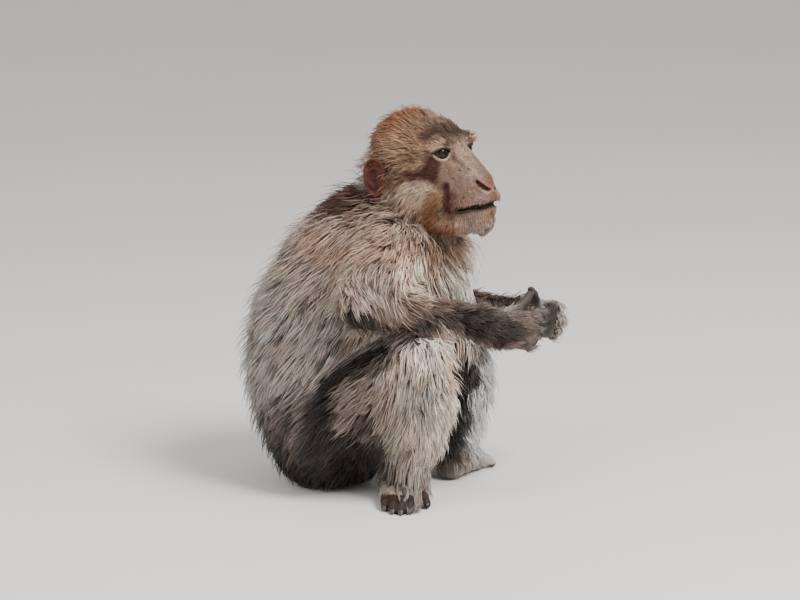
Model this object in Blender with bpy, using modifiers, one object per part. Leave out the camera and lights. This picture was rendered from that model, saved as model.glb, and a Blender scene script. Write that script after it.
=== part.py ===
"""Barbary macaque, life size, sitting with its knees drawn up and both hands held before its chest.

The animal faces -Y, its left side is +X and +Z is up. The origin lies on the floor, under the middle of the
seat. Every size includes the coat, out to the tips of the hair. The body is modelled whole, as overlapping
masses that are remeshed into one skin, and is then parted at its joints with thin cuts.
"""

import math

import bmesh
import bpy
from mathutils import Matrix, Vector

# Driving dimensions, in metres and degrees.
CUT = 0.0004  # width of the cut between two neighbouring pieces
BODY_VOXEL = 0.006  # mesh size at which trunk and limbs are blended
FINE_VOXEL = 0.0026  # mesh size at which the face is blended
DIGIT_VOXEL = 0.0021  # mesh size of hands and feet
FLOOR = 0.0
REACH = 1.0  # side of the blocks that part the body

HEAD_CENTRE = (-0.010, 0.092, 0.370)  # side, front, up
HEAD_TURN = 30.0  # to the animal's right
HEAD_LIFT = 6.0
EYE_RADIUS = 0.0105
EYE_PLACE = (0.0200, 0.0496, 0.0045)
EAR_RADII = (0.0058, 0.0142, 0.0222)  # half its thickness, depth and height
EAR_PLACE = (0.0510, -0.0160, -0.0185)
EAR_FLARE = 16.0  # how far its rear edge stands off the head
EAR_TILT = 8.0
EAR_HOLLOW = (1.15, 0.80, 0.82)  # the hollow against the ear's own radii

TUBE_MARGIN = 0.006  # how much wider than a limb the tube is that parts it from the trunk
TUBE_TRIANGLES = 190
JAW_SPARE = 0.012  # what the head is first made longer by, below the cut
JAW_POINT = (0.0, 0.087, 0.310)  # on the plane under jaw and nape that parts the head
JAW_FACING = (0.0, 0.45, 0.89)
NECK_LINE = ((0, 0.070, 0.262), (0, 0.082, 0.345))
NECK_RADII = (0.062, 0.064)

BODY_TRIANGLES = 1800  # trunk, neck and limbs before they are parted
HEAD_TRIANGLES = 1600
EAR_TRIANGLES = 190
HAND_TRIANGLES = 420
FOOT_TRIANGLES = 350

# Hands: the way each points (side, front, up), and its fingers, thumb side first.
HAND_HEADING = {-1: (0.28, 0.94, -0.16), 1: (-0.74, 0.66, 0.06)}
FINGER_LENGTHS = (0.020, 0.015, 0.011)
FINGER_BENDS = {
    -1: ((40, 58, 46), (44, 60, 48), (46, 62, 50), (50, 62, 50)),
    1: ((26, 50, 44), (38, 58, 46), (42, 60, 48), (46, 60, 50)),
}
FINGER_ROW = ((0.0130, 0.030, 0.94), (0.0045, 0.033, 1.0), (-0.0045, 0.032, 0.97), (-0.0130, 0.029, 0.86))
FINGER_RADII = (0.0068, 0.0058, 0.0053, 0.0045)
THUMB_HEADING = (0.70, 0.62, 0.34)  # along the hand, to its thumb side and into its palm
THUMB_LENGTHS = (0.015, 0.012, 0.010)
THUMB_BENDS = (0, 14, 18)
THUMB_RADII = (0.0080, 0.0064, 0.0056, 0.0045)

# Feet: how far each turns out, and its toes from the inner one outwards, beside the great toe.
FOOT_SPLAY = {-1: 84.0, 1: 82.0}
HEEL_BACK = 0.024
TOE_ROW = ((0.0120, 0.041, 1.0), (0.0035, 0.044, 1.04), (-0.0055, 0.042, 1.0), (-0.0140, 0.036, 0.86))
TOE_LENGTHS = (0.014, 0.011, 0.008)
TOE_BENDS = (-14, 30, 34)
TOE_RADII = (0.0070, 0.0064, 0.0060, 0.0052)
GREAT_TOE_HEADING = (0.92, 0.38)  # along the foot and to its inner side
GREAT_TOE_LENGTHS = (0.019, 0.013, 0.010)
GREAT_TOE_BENDS = (4, 4, 10)
GREAT_TOE_RADII = (0.0100, 0.0078, 0.0070, 0.0058)

FUR = (0.42, 0.35, 0.29)
COLOURS = {
    "coat": (FUR, 0.85),
    "coat_crown": ((0.38, 0.25, 0.17), 0.85),
    "coat_limb": ((0.36, 0.29, 0.25), 0.85),
    "hand_skin": ((0.10, 0.08, 0.075), 0.60),
    "foot_skin": ((0.34, 0.30, 0.26), 0.60),
    "ear_skin": ((0.22, 0.09, 0.07), 0.55),
    "eye": ((0.05, 0.03, 0.02), 0.08),
}


def at(side, front, up):
    """A point given by how far it is to the animal's left, to its front and up."""
    return Vector((side, -front, up))


def head_frame():
    """The frame of the head: its own left, back and up, seen from the middle of the skull."""
    turn = Matrix.Rotation(-math.radians(HEAD_TURN), 4, "Z")
    lift = Matrix.Rotation(-math.radians(HEAD_LIFT), 4, "X")
    return Matrix.Translation(at(*HEAD_CENTRE)) @ turn @ lift


# ---------------------------------------------------------------- shapes


def add_mass(bm, centre, radii, turn=None, frame=None):
    """An ellipsoid. Its radii run to the side, to the front and up, before it is turned."""
    place = Matrix.Translation(at(*centre)) @ (turn or Matrix.Identity(4))
    place = (frame or Matrix.Identity(4)) @ place
    scale = Matrix.Diagonal((*radii, 1.0))
    bmesh.ops.create_uvsphere(bm, u_segments=28, v_segments=18, radius=1.0, matrix=place @ scale)


def add_limb(bm, points, radii):
    """A run of balls and the cones between them, along points given as vectors."""
    for point, radius in zip(points, radii):
        ball = Matrix.Translation(point)
        bmesh.ops.create_uvsphere(bm, u_segments=20, v_segments=14, radius=radius, matrix=ball)
    for start, end, near, far in zip(points, points[1:], radii, radii[1:]):
        along = end - start
        turn = along.to_track_quat("Z", "Y").to_matrix().to_4x4()
        bmesh.ops.create_cone(
            bm,
            cap_ends=True,
            segments=20,
            radius1=near,
            radius2=far,
            depth=along.length,
            matrix=Matrix.Translation((start + end) / 2) @ turn,
        )


def smooth_between(rows, steps):
    """Rows of numbers with others set smoothly between them (Catmull-Rom)."""
    out = []
    for index in range(len(rows) - 1):
        before = rows[max(index - 1, 0)]
        after = rows[min(index + 2, len(rows) - 1)]
        for step in range(steps):
            t = step / steps
            out.append(
                [
                    0.5 * (2 * b + (c - a) * t + (2 * a - 5 * b + 4 * c - d) * t**2 + (3 * b - a - 3 * c + d) * t**3)
                    for a, b, c, d in zip(before, rows[index], rows[index + 1], after)
                ]
            )
    out.append(list(rows[-1]))
    return out


def add_loft(bm, rows, sides=36):
    """A body through upright ovals. Each row gives the oval's back and front points and its half width."""
    rings = []
    for back, back_up, front, front_up, half_width in smooth_between(rows, 5):
        across = Vector((half_width, 0, 0))
        reach = at(0, (front - back) / 2, (front_up - back_up) / 2)
        middle = at(0, (back + front) / 2, (back_up + front_up) / 2)
        oval = Matrix((across, reach, across.cross(reach))).transposed().to_4x4()
        oval.translation = middle
        ring = bmesh.ops.create_circle(bm, segments=sides, radius=1.0, matrix=oval)["verts"]
        rings.append({edge for vert in ring for edge in vert.link_edges})
    for lower, upper in zip(rings, rings[1:]):
        bmesh.ops.bridge_loops(bm, edges=[*lower, *upper])
    bmesh.ops.holes_fill(bm, edges=[*rings[0], *rings[-1]], sides=sides)


def lean(degrees, axis="X"):
    return Matrix.Rotation(math.radians(degrees), 4, axis)


def object_from(bm, name):
    mesh = bpy.data.meshes.new(name)
    bm.to_mesh(mesh)
    bm.free()
    obj = bpy.data.objects.new(name, mesh)
    bpy.context.scene.collection.objects.link(obj)
    return obj


def apply_modifiers(obj):
    """Makes the object's evaluated shape its own mesh."""
    graph = bpy.context.evaluated_depsgraph_get()
    mesh = bpy.data.meshes.new_from_object(obj.evaluated_get(graph))
    obj.modifiers.clear()
    obj.data = mesh
    return obj


def blend(obj, voxel, rounds):
    """Joins overlapping shapes into one skin and softens the creases between them."""
    remesh = obj.modifiers.new("join", "REMESH")
    remesh.mode = "VOXEL"
    remesh.voxel_size = voxel
    smooth = obj.modifiers.new("soften", "SMOOTH")
    smooth.factor = 0.5
    smooth.iterations = rounds
    return apply_modifiers(obj)


def joined(objects, name):
    """One object that holds the shapes of several, which are removed."""
    bm = bmesh.new()
    for obj in objects:
        bm.from_mesh(obj.data)
        bpy.data.objects.remove(obj)
    return object_from(bm, name)


def thin_out(obj, triangles):
    """Fewer triangles, kept where the shape bends."""
    now = sum(len(face.vertices) - 2 for face in obj.data.polygons)
    if now <= triangles:
        return obj
    decimate = obj.modifiers.new("thin", "DECIMATE")
    decimate.ratio = triangles / now
    return apply_modifiers(obj)


def boolean(obj, other, operation):
    modifier = obj.modifiers.new(operation.lower(), "BOOLEAN")
    modifier.operation = operation
    modifier.solver = "EXACT"
    modifier.object = other
    return apply_modifiers(obj)


def keep_largest(obj):
    """Removes the crumbs that a cut leaves, and keeps the largest body."""
    bm = bmesh.new()
    bm.from_mesh(obj.data)
    bm.verts.ensure_lookup_table()
    unseen = set(range(len(bm.verts)))
    bodies = []
    while unseen:
        front = [bm.verts[unseen.pop()]]
        body = list(front)
        while front:
            vert = front.pop()
            for edge in vert.link_edges:
                other = edge.other_vert(vert)
                if other.index in unseen:
                    unseen.remove(other.index)
                    front.append(other)
                    body.append(other)
        bodies.append(body)
    bodies.sort(key=len)
    crumbs = [vert for body in bodies[:-1] for vert in body]
    bmesh.ops.delete(bm, geom=crumbs, context="VERTS")
    bmesh.ops.triangulate(bm, faces=bm.faces)
    bm.to_mesh(obj.data)
    bm.free()
    return obj


def copy_of(obj, name):
    twin = obj.copy()
    twin.data = obj.data.copy()
    twin.name = name
    bpy.context.scene.collection.objects.link(twin)
    return twin


def block(point, normal, gap):
    """A large box whose one face lies gap beyond point, square to normal, with the box beyond it."""
    bm = bmesh.new()
    normal = normal.normalized()
    turn = normal.to_track_quat("Z", "Y").to_matrix().to_4x4()
    centre = point + normal * (REACH / 2 + gap)
    bmesh.ops.create_cube(bm, size=REACH, matrix=Matrix.Translation(centre) @ turn)
    return object_from(bm, "cutter")


def cut_away(obj, point, normal, gap=CUT / 2):
    """Removes what lies beyond a plane, on the side that its normal points to."""
    cutter = block(point, normal, -gap)
    boolean(obj, cutter, "DIFFERENCE")
    bpy.data.objects.remove(cutter)
    return keep_largest(obj)


def parted(obj, point, normal, far_name):
    """Cuts obj in two at a plane. What lies beyond it becomes the new object far_name."""
    far = copy_of(obj, far_name)
    cut_away(obj, point, normal)
    cut_away(far, point, -normal)
    return far


def carved(obj, territory, name, others=()):
    """Takes out of obj what lies inside territory, as a new object, with a cut between it and the rest."""
    piece = copy_of(obj, name)
    boolean(piece, territory, "INTERSECT")
    push = territory.modifiers.new("push", "DISPLACE")
    push.strength = CUT
    push.mid_level = 0.0
    apply_modifiers(territory)
    for rest in (obj, *others):
        boolean(rest, territory, "DIFFERENCE")
        keep_largest(rest)
    bpy.data.objects.remove(territory)
    return keep_largest(piece)


# ---------------------------------------------------------------- the animal


def arm_line(side):
    """Joints and radii of an arm, from shoulder to wrist. The right elbow is the higher one."""
    if side < 0:
        line = [
            (-0.066, 0.076, 0.272),
            (-0.100, 0.060, 0.244),
            (-0.121, 0.048, 0.222),
            (-0.106, 0.104, 0.219),
            (-0.074, 0.160, 0.204),
            (-0.052, 0.192, 0.192),
        ]
        return [at(*p) for p in line], [0.044, 0.038, 0.026, 0.0200, 0.0215, 0.0205]
    line = [
        (0.066, 0.076, 0.270),
        (0.096, 0.066, 0.230),
        (0.112, 0.058, 0.192),
        (0.096, 0.118, 0.184),
        (0.074, 0.178, 0.181),
        (0.058, 0.216, 0.182),
    ]
    return [at(*p) for p in line], [0.044, 0.037, 0.028, 0.0230, 0.0210, 0.0190]


def leg_line(side):
    """Joints and radii of a leg, from hip to ankle. The left shin stands further forward."""
    if side < 0:
        line = [
            (-0.060, 0.000, 0.078),
            (-0.080, 0.058, 0.118),
            (-0.090, 0.114, 0.167),
            (-0.086, 0.117, 0.114),
            (-0.072, 0.105, 0.066),
            (-0.056, 0.085, 0.034),
        ]
        return [at(*p) for p in line], [0.049, 0.044, 0.032, 0.036, 0.032, 0.024]
    line = [
        (0.060, 0.000, 0.078),
        (0.078, 0.068, 0.110),
        (0.084, 0.136, 0.142),
        (0.079, 0.138, 0.098),
        (0.060, 0.136, 0.062),
        (0.036, 0.128, 0.034),
    ]
    return [at(*p) for p in line], [0.050, 0.046, 0.030, 0.032, 0.030, 0.024]


TRUNK_OVALS = (
    # back, its height, front, its height, half width
    (-0.038, -0.010, 0.018, -0.014, 0.050),
    (-0.062, 0.016, 0.044, 0.000, 0.072),
    (-0.082, 0.054, 0.070, 0.034, 0.086),
    (-0.097, 0.100, 0.090, 0.080, 0.093),
    (-0.102, 0.150, 0.106, 0.130, 0.096),
    (-0.093, 0.200, 0.128, 0.178, 0.096),
    (-0.070, 0.250, 0.148, 0.216, 0.092),
    (-0.042, 0.290, 0.153, 0.252, 0.085),
    (-0.012, 0.318, 0.146, 0.280, 0.073),
    (0.018, 0.336, 0.128, 0.300, 0.060),
    (0.035, 0.354, 0.118, 0.322, 0.050),
    (0.044, 0.372, 0.112, 0.346, 0.044),
)


def add_trunk(bm):
    """Rump, loin, chest and neck in the hunched line of a sitting animal, with its shoulder blades."""
    add_loft(bm, TRUNK_OVALS)
    for side in (-1, 1):
        add_mass(bm, (side * 0.046, 0.040, 0.266), (0.044, 0.062, 0.046), lean(30))


def add_skull(bm):
    """The rounded masses of the head: brain case, forehead, throat and the ruff of the cheeks."""
    frame = head_frame()
    add_mass(bm, (0, 0.000, 0.003), (0.050, 0.053, 0.050), frame=frame)
    add_mass(bm, (0, 0.024, 0.005), (0.043, 0.038, 0.041), frame=frame)
    add_mass(bm, (0, -0.022, -0.016), (0.042, 0.042, 0.040), frame=frame)
    add_mass(bm, (0, 0.022, -0.048), (0.040, 0.044, 0.030), frame=frame)
    for side in (-1, 1):
        add_mass(bm, (side * 0.030, 0.012, -0.034), (0.023, 0.044, 0.033), frame=frame)


def add_face(bm):
    """Brow ridge, cheekbones, muzzle, nose, lips, chin and jaws."""
    frame = head_frame()

    def run(points, radii):
        add_limb(bm, [frame @ at(*p) for p in points], radii)

    brow = [(-0.036, 0.034, 0.011), (-0.024, 0.0505, 0.0170), (0, 0.0555, 0.0155), (0.024, 0.0505, 0.0170)]
    run(brow + [(0.036, 0.034, 0.011)], [0.0085, 0.0090, 0.0095, 0.0090, 0.0085])
    add_mass(bm, (0, 0.028, -0.008), (0.039, 0.031, 0.036), frame=frame)
    run([(0, 0.0565, 0.008), (0, 0.0735, -0.010), (0, 0.0915, -0.0290)], [0.0105, 0.0110, 0.0115])
    run([(0, 0.030, -0.032), (0, 0.062, -0.040), (0, 0.085, -0.0460)], [0.0360, 0.0290, 0.0205])
    add_mass(bm, (0, 0.090, -0.0455), (0.0205, 0.0175, 0.0105), lean(6), frame)
    add_mass(bm, (0, 0.0965, -0.0350), (0.0120, 0.0080, 0.0070), frame=frame)
    run([(0, 0.050, -0.060), (0, 0.0835, -0.0655)], [0.0280, 0.0175])
    add_mass(bm, (0, 0.087, -0.0600), (0.0170, 0.0160, 0.0080), frame=frame)
    add_mass(bm, (0, 0.080, -0.0740), (0.0150, 0.0155, 0.0120), frame=frame)
    for side in (-1, 1):
        run([(side * 0.037, 0.031, -0.008), (side * 0.044, 0.010, -0.014)], [0.0095, 0.0115])
        run([(side * 0.021, 0.046, -0.016), (side * 0.014, 0.069, -0.033)], [0.0190, 0.0175])
        run([(side * 0.026, 0.042, -0.046), (side * 0.015, 0.074, -0.0530)], [0.0200, 0.0150])
        run([(side * 0.028, 0.011, -0.056), (side * 0.012, 0.063, -0.0680)], [0.0210, 0.0185])


def body_masses():
    """Trunk, neck, limbs and the round of the skull, blended but without hands, feet and face."""
    bm = bmesh.new()
    add_trunk(bm)
    add_skull(bm)
    for side in (-1, 1):
        add_limb(bm, *arm_line(side))
        add_limb(bm, *leg_line(side))
    return blend(object_from(bm, "body"), BODY_VOXEL, 9)


def head_masses(body):
    """The head of the blended body, with its face added at a finer mesh size, down to below the jaw."""
    bm = bmesh.new()
    add_face(bm)
    head = joined([copy_of(body, "skull"), object_from(bm, "face")], "head")
    facing = at(*JAW_FACING)
    cut_away(blend(head, FINE_VOXEL, 9), at(*JAW_POINT) - facing * JAW_SPARE, -facing)
    return thin_out(head, HEAD_TRIANGLES)


def territory(line, radii, margin, name):
    """A softened tube round a limb, wide enough to part it from the trunk."""
    bm = bmesh.new()
    add_limb(bm, line, [radius + margin for radius in radii])
    return thin_out(blend(object_from(bm, name), BODY_VOXEL, 4), TUBE_TRIANGLES)


def limb_frame(along, up):
    """A frame whose X axis runs along a hand or foot and whose Z axis is nearest to up."""
    x = along.normalized()
    y = up.cross(x).normalized()
    z = x.cross(y)
    return Matrix((x, y, z)).transposed()


def digit(start, heading, hinge, lengths, bends):
    """Points along a finger or toe that bends at each joint about hinge."""
    points = [start]
    turned = 0.0
    for length, bend in zip(lengths, bends):
        turned += bend
        heading_now = Matrix.Rotation(math.radians(turned), 3, hinge) @ heading
        points.append(points[-1] + heading_now * length)
    return points


def hand_heading(side):
    return at(*HAND_HEADING[side])


def hand(side):
    """A hand, thumb uppermost, with its fingers bent round what it holds. It begins inside the wrist."""
    line, radii = arm_line(side)
    wrist = line[-1]
    axes = limb_frame(hand_heading(side), Vector((0, 0, 1)))
    along, across, thumbward = axes.col[0], axes.col[1], axes.col[2]
    inward = across if across.dot(at(-side, -0.4, 0)) > 0 else -across
    hinge = along.cross(inward).normalized()
    bm = bmesh.new()
    add_limb(bm, [line[-2], wrist, wrist + along * 0.014], [radii[-2], radii[-1], radii[-1] * 0.86])
    for (row, base, size), bends in zip(FINGER_ROW, FINGER_BENDS[side]):
        knuckle = wrist + along * base + thumbward * row
        root = wrist + along * 0.008 + thumbward * row * 0.6
        lengths = [length * size for length in FINGER_LENGTHS]
        points = digit(knuckle, along, hinge, lengths, bends)
        add_limb(bm, [root, knuckle], [0.0125, 0.0088])
        add_limb(bm, points, FINGER_RADII)
    root = wrist + along * 0.008 + thumbward * 0.012 + inward * 0.008
    ahead, up, in_palm = THUMB_HEADING
    heading = (along * ahead + thumbward * up + inward * in_palm).normalized()
    add_limb(bm, digit(root, heading, hinge, THUMB_LENGTHS, THUMB_BENDS), THUMB_RADII)
    return blend(object_from(bm, "hand_left" if side > 0 else "hand_right"), DIGIT_VOXEL, 2)


def foot(side):
    """A foot flat on the floor, splayed outwards, its great toe set apart on the inner side."""
    line, radii = leg_line(side)
    ankle = line[-1]
    splay = math.radians(FOOT_SPLAY[side])
    along = at(side * math.sin(splay), math.cos(splay), 0)
    inner = at(-side * math.cos(splay), math.sin(splay), 0)
    down = Vector((0, 0, -1))
    hinge = along.cross(down).normalized()
    sole = Vector((ankle.x, ankle.y, 0.0))
    up = Vector((0, 0, 1))
    bm = bmesh.new()
    add_limb(bm, [line[-2], ankle], [radii[-2], radii[-1]])
    heel = sole - along * (HEEL_BACK - 0.012) + up * 0.013
    add_limb(bm, [heel, sole + along * 0.010 + up * 0.020], [0.0165, 0.0185])
    for row, base, size in TOE_ROW:
        ball = sole + along * base + inner * row + up * 0.0085
        instep = sole + along * 0.012 + inner * row * 0.55 + up * 0.018
        lengths = [length * size for length in TOE_LENGTHS]
        add_limb(bm, [instep, ball], [0.0160, 0.0098])
        points = digit(ball, along, hinge, lengths, TOE_BENDS)
        add_limb(bm, points, TOE_RADII)
    root = sole + along * 0.012 + inner * 0.014 + up * 0.010
    heading = (along * GREAT_TOE_HEADING[0] + inner * GREAT_TOE_HEADING[1]).normalized()
    add_limb(bm, digit(root, heading, hinge, GREAT_TOE_LENGTHS, GREAT_TOE_BENDS), GREAT_TOE_RADII)
    name = "foot_left" if side > 0 else "foot_right"
    return blend(object_from(bm, name), DIGIT_VOXEL, 2)


def eye(side, extra=0.0):
    bm = bmesh.new()
    place = head_frame() @ at(side * EYE_PLACE[0], EYE_PLACE[1], EYE_PLACE[2])
    radius = EYE_RADIUS + extra
    bmesh.ops.create_uvsphere(bm, u_segments=14, v_segments=8, radius=radius, matrix=Matrix.Translation(place))
    return object_from(bm, "eye_left" if side > 0 else "eye_right")


def ear(side, extra=0.0):
    """An upright oval plate that stands off the head, hollowed on its outer face."""
    frame = head_frame() @ Matrix.Translation(at(side * EAR_PLACE[0], EAR_PLACE[1], EAR_PLACE[2]))
    frame = frame @ Matrix.Rotation(math.radians(-side * EAR_FLARE), 4, "Z") @ lean(EAR_TILT)
    thick, deep, tall = (radius + extra for radius in EAR_RADII)
    bm = bmesh.new()
    bmesh.ops.create_uvsphere(
        bm, u_segments=16, v_segments=10, radius=1.0, matrix=frame @ Matrix.Diagonal((thick, deep, tall, 1))
    )
    plate = object_from(bm, "ear_left" if side > 0 else "ear_right")
    if extra:
        return plate
    bm = bmesh.new()
    hollow = Matrix.Translation((side * thick * 1.2, -0.001, 0.001))
    shape = Matrix.Diagonal((thick * EAR_HOLLOW[0], deep * EAR_HOLLOW[1], tall * EAR_HOLLOW[2], 1))
    bmesh.ops.create_uvsphere(bm, u_segments=16, v_segments=10, radius=1.0, matrix=frame @ hollow @ shape)
    cutter = object_from(bm, "hollow")
    boolean(plate, cutter, "DIFFERENCE")
    bpy.data.objects.remove(cutter)
    return keep_largest(plate)


def bisector(line, joint):
    """The direction that cuts a limb squarely at one of its joints."""
    before = (line[joint] - line[joint - 1]).normalized()
    after = (line[joint + 1] - line[joint]).normalized()
    return (before + after).normalized()


def dress(obj, material_name):
    colour, roughness = COLOURS[material_name]
    material = bpy.data.materials.get(material_name) or bpy.data.materials.new(material_name)
    material.use_nodes = True
    shader = material.node_tree.nodes["Principled BSDF"]
    shader.inputs["Base Color"].default_value = (*colour, 1.0)
    shader.inputs["Roughness"].default_value = roughness
    shader.inputs["Metallic"].default_value = 0.0
    obj.data.materials.clear()
    obj.data.materials.append(material)


def stand(obj):
    """Cuts off what would reach below the floor, which leaves the flats the animal rests on."""
    return cut_away(obj, at(0, 0, FLOOR), Vector((0, 0, -1)), gap=0.0)


def side_name(name, side):
    return f"{name}_{'left' if side > 0 else 'right'}"


def part_arms(body, head, pieces):
    """Arms come out of the body inside tubes a little wider than they are, and are cut at elbow and wrist."""
    for side in (-1, 1):
        line, radii = arm_line(side)
        wrist_normal = hand_heading(side).normalized()
        tube = territory(line + [line[-1] + wrist_normal * 0.05], radii + radii[-1:], TUBE_MARGIN, "tube")
        arm = carved(body, tube, "arm", [head])
        forearm = parted(arm, line[2], bisector(line, 2), "forearm")
        cut_away(forearm, line[-1], wrist_normal)
        palm = thin_out(hand(side), HAND_TRIANGLES)
        cut_away(palm, line[-1], -wrist_normal)
        pieces[side_name("upper_arm", side)] = (arm, "coat_limb")
        pieces[side_name("forearm", side)] = (forearm, "coat_limb")
        pieces[side_name("hand", side)] = (palm, "hand_skin")


def part_legs(body, pieces):
    """Legs come out in the same way, and are cut at knee and ankle. The feet stand on the floor."""
    for side in (-1, 1):
        line, radii = leg_line(side)
        leg = carved(body, territory(line, radii, TUBE_MARGIN, "tube"), "leg")
        shin = parted(leg, line[2], bisector(line, 2), "shin")
        cut_away(shin, line[-1], Vector((0, 0, -1)))
        sole = thin_out(foot(side), FOOT_TRIANGLES)
        cut_away(sole, line[-1], Vector((0, 0, 1)))
        pieces[side_name("thigh", side)] = (leg, "coat_limb")
        pieces[side_name("shin", side)] = (shin, "coat_limb")
        pieces[side_name("foot", side)] = (stand(sole), "foot_skin")


def part_head(body, head, pieces):
    """The head comes off under jaw and nape. The neck is what joins it to the trunk."""
    cut_away(head, at(*JAW_POINT), -at(*JAW_FACING))
    cut_away(body, at(*JAW_POINT), at(*JAW_FACING))
    neck = carved(body, territory([at(*place) for place in NECK_LINE], NECK_RADII, 0.0, "tube"), "neck")
    for side in (-1, 1):
        for cutter in (eye(side, CUT), ear(side, CUT)):
            boolean(head, cutter, "DIFFERENCE")
            bpy.data.objects.remove(cutter)
        pieces[side_name("eye", side)] = (eye(side), "eye")
        pieces[side_name("ear", side)] = (thin_out(ear(side), EAR_TRIANGLES), "ear_skin")
    pieces["head"] = (keep_largest(head), "coat_crown")
    pieces["neck"] = (neck, "coat")


def build():
    for obj in list(bpy.data.objects):
        bpy.data.objects.remove(obj)

    pieces = {}
    body = body_masses()
    head = head_masses(body)
    thin_out(body, BODY_TRIANGLES)
    part_arms(body, head, pieces)
    part_legs(body, pieces)
    part_head(body, head, pieces)
    pieces["trunk"] = (stand(body), "coat")

    collection = bpy.data.collections.new("barbary_macaque")
    bpy.context.scene.collection.children.link(collection)
    for name, (obj, material_name) in pieces.items():
        obj.name = name
        obj.data.name = name
        dress(obj, material_name)
        bpy.context.scene.collection.objects.unlink(obj)
        collection.objects.link(obj)


if __name__ == "__main__":
    build()
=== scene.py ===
"""Skin, eyes, nails and coat of a sitting Barbary macaque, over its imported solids.

The solids give the outline out to the tips of the hair. The skin is sunk below them by the depth of the coat,
the head, hands and feet get their own finer forms, and locks of mesh hair grow from the skin back out to the
outline. The animal faces -Y, its left side is +X and +Z is up. Everything is in metres.
"""

import math

import bmesh
import bpy
import numpy as np
from mathutils import Matrix, Vector, noise
from mathutils.bvhtree import BVHTree
from mathutils.kdtree import KDTree


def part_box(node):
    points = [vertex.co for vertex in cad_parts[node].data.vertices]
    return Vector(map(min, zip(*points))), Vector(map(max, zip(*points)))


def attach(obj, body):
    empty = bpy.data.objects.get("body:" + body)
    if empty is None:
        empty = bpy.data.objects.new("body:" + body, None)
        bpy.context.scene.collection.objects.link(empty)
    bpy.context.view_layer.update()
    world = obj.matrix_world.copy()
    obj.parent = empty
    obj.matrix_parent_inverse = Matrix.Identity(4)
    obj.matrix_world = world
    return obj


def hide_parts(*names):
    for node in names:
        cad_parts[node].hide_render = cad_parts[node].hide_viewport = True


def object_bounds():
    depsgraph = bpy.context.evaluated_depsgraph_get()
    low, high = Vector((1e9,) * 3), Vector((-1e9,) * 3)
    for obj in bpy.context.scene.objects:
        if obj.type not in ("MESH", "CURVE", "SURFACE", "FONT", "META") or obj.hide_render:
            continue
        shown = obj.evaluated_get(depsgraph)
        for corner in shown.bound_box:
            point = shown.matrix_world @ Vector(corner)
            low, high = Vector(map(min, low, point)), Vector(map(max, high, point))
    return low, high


bl_info = {
    "name": "Sitting macaque",
    "version": (1, 0, 0),
    "blender": (4, 5, 0),
    "location": "3D View > Sidebar > Macaque",
    "description": "Skin, eyes, nails and coat of a sitting Barbary macaque",
    "category": "Object",
}

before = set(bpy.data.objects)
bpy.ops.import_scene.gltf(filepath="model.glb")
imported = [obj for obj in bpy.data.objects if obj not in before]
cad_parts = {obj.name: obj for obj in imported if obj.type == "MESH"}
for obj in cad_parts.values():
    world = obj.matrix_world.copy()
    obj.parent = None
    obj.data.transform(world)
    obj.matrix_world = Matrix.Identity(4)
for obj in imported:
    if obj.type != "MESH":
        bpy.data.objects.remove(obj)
CAD_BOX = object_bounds()

SIDES = {-1: "right", 1: "left"}
DOWN = Vector((0, 0, -1))


# ---- settings


def setting(name, description, default, **more):
    return bpy.props.FloatProperty(name=name, description=description, default=default, **more)


class SkinSettings(bpy.types.PropertyGroup):
    """Mesh sizes of the skin."""

    body_voxel: setting("Body mesh size", "Size of the faces of trunk and limbs", 0.0045, unit="LENGTH")
    form_voxel: setting("Head form size", "Mesh size at which the head's masses blend", 0.0024, unit="LENGTH")
    face_voxel: setting("Face mesh size", "Size of the faces of the finished head", 0.0013, unit="LENGTH")
    digit_voxel: setting("Digit mesh size", "Size of the faces of hands and feet", 0.0018, unit="LENGTH")


class CoatSettings(bpy.types.PropertyGroup):
    """Size and lie of the locks of hair."""

    length: setting("Length", "Length of the coat against its usual length", 1.0, min=0.3, max=1.5)
    width: setting("Width", "Width of the locks against their usual width", 1.0, min=0.3, max=2.0)
    clumping: setting(
        "Clumping", "How far the tips of neighbouring locks join", 0.62, min=0.0, max=1.0, subtype="FACTOR"
    )
    clump_gap: setting("Clump gap", "Distance between the clumps on the back", 0.0085, unit="LENGTH")
    seed: bpy.props.IntProperty(name="Seed", description="Start of the random numbers", default=7)


class EyeSettings(bpy.types.PropertyGroup):
    """Shape of the eyes."""

    iris: setting("Iris", "Half angle of the iris, from the eye's middle", math.radians(41), subtype="ANGLE")
    bulge: setting("Cornea", "How far the cornea stands out of the ball", 0.0007, unit="LENGTH")


class StageSettings(bpy.types.PropertyGroup):
    """Camera and lights."""

    azimuth: setting("Azimuth", "Where the camera is round the animal", math.radians(-80), subtype="ANGLE")
    elevation: setting("Elevation", "How high the camera stands", math.radians(12), subtype="ANGLE")
    distance: setting("Distance", "From the camera to the animal", 3.3, unit="LENGTH")
    lens: setting("Lens", "Focal length in millimetres", 135.0)
    key: setting("Key light", "Power of the key light", 100.0, unit="POWER")
    fill: setting("Fill light", "Power of the fill light", 26.0, unit="POWER")
    sky: setting("Sky", "Strength of the even light", 0.9)


# ---- places


def inside(node, across, forward, up):
    """A place in a node's box, from 0 to 1 from its right to its left, its back to its front, and upwards."""
    low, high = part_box(node)
    return Vector(
        (
            low.x + (high.x - low.x) * across,
            high.y - (high.y - low.y) * forward,
            low.z + (high.z - low.z) * up,
        )
    )


def turned(degrees, axis):
    return Matrix.Rotation(math.radians(degrees), 4, axis)


EYE_FORWARD = 0.0496
EYE_UP = 0.0045
HEAD_LIFT = 6.0  # degrees that the face points upwards


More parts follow.
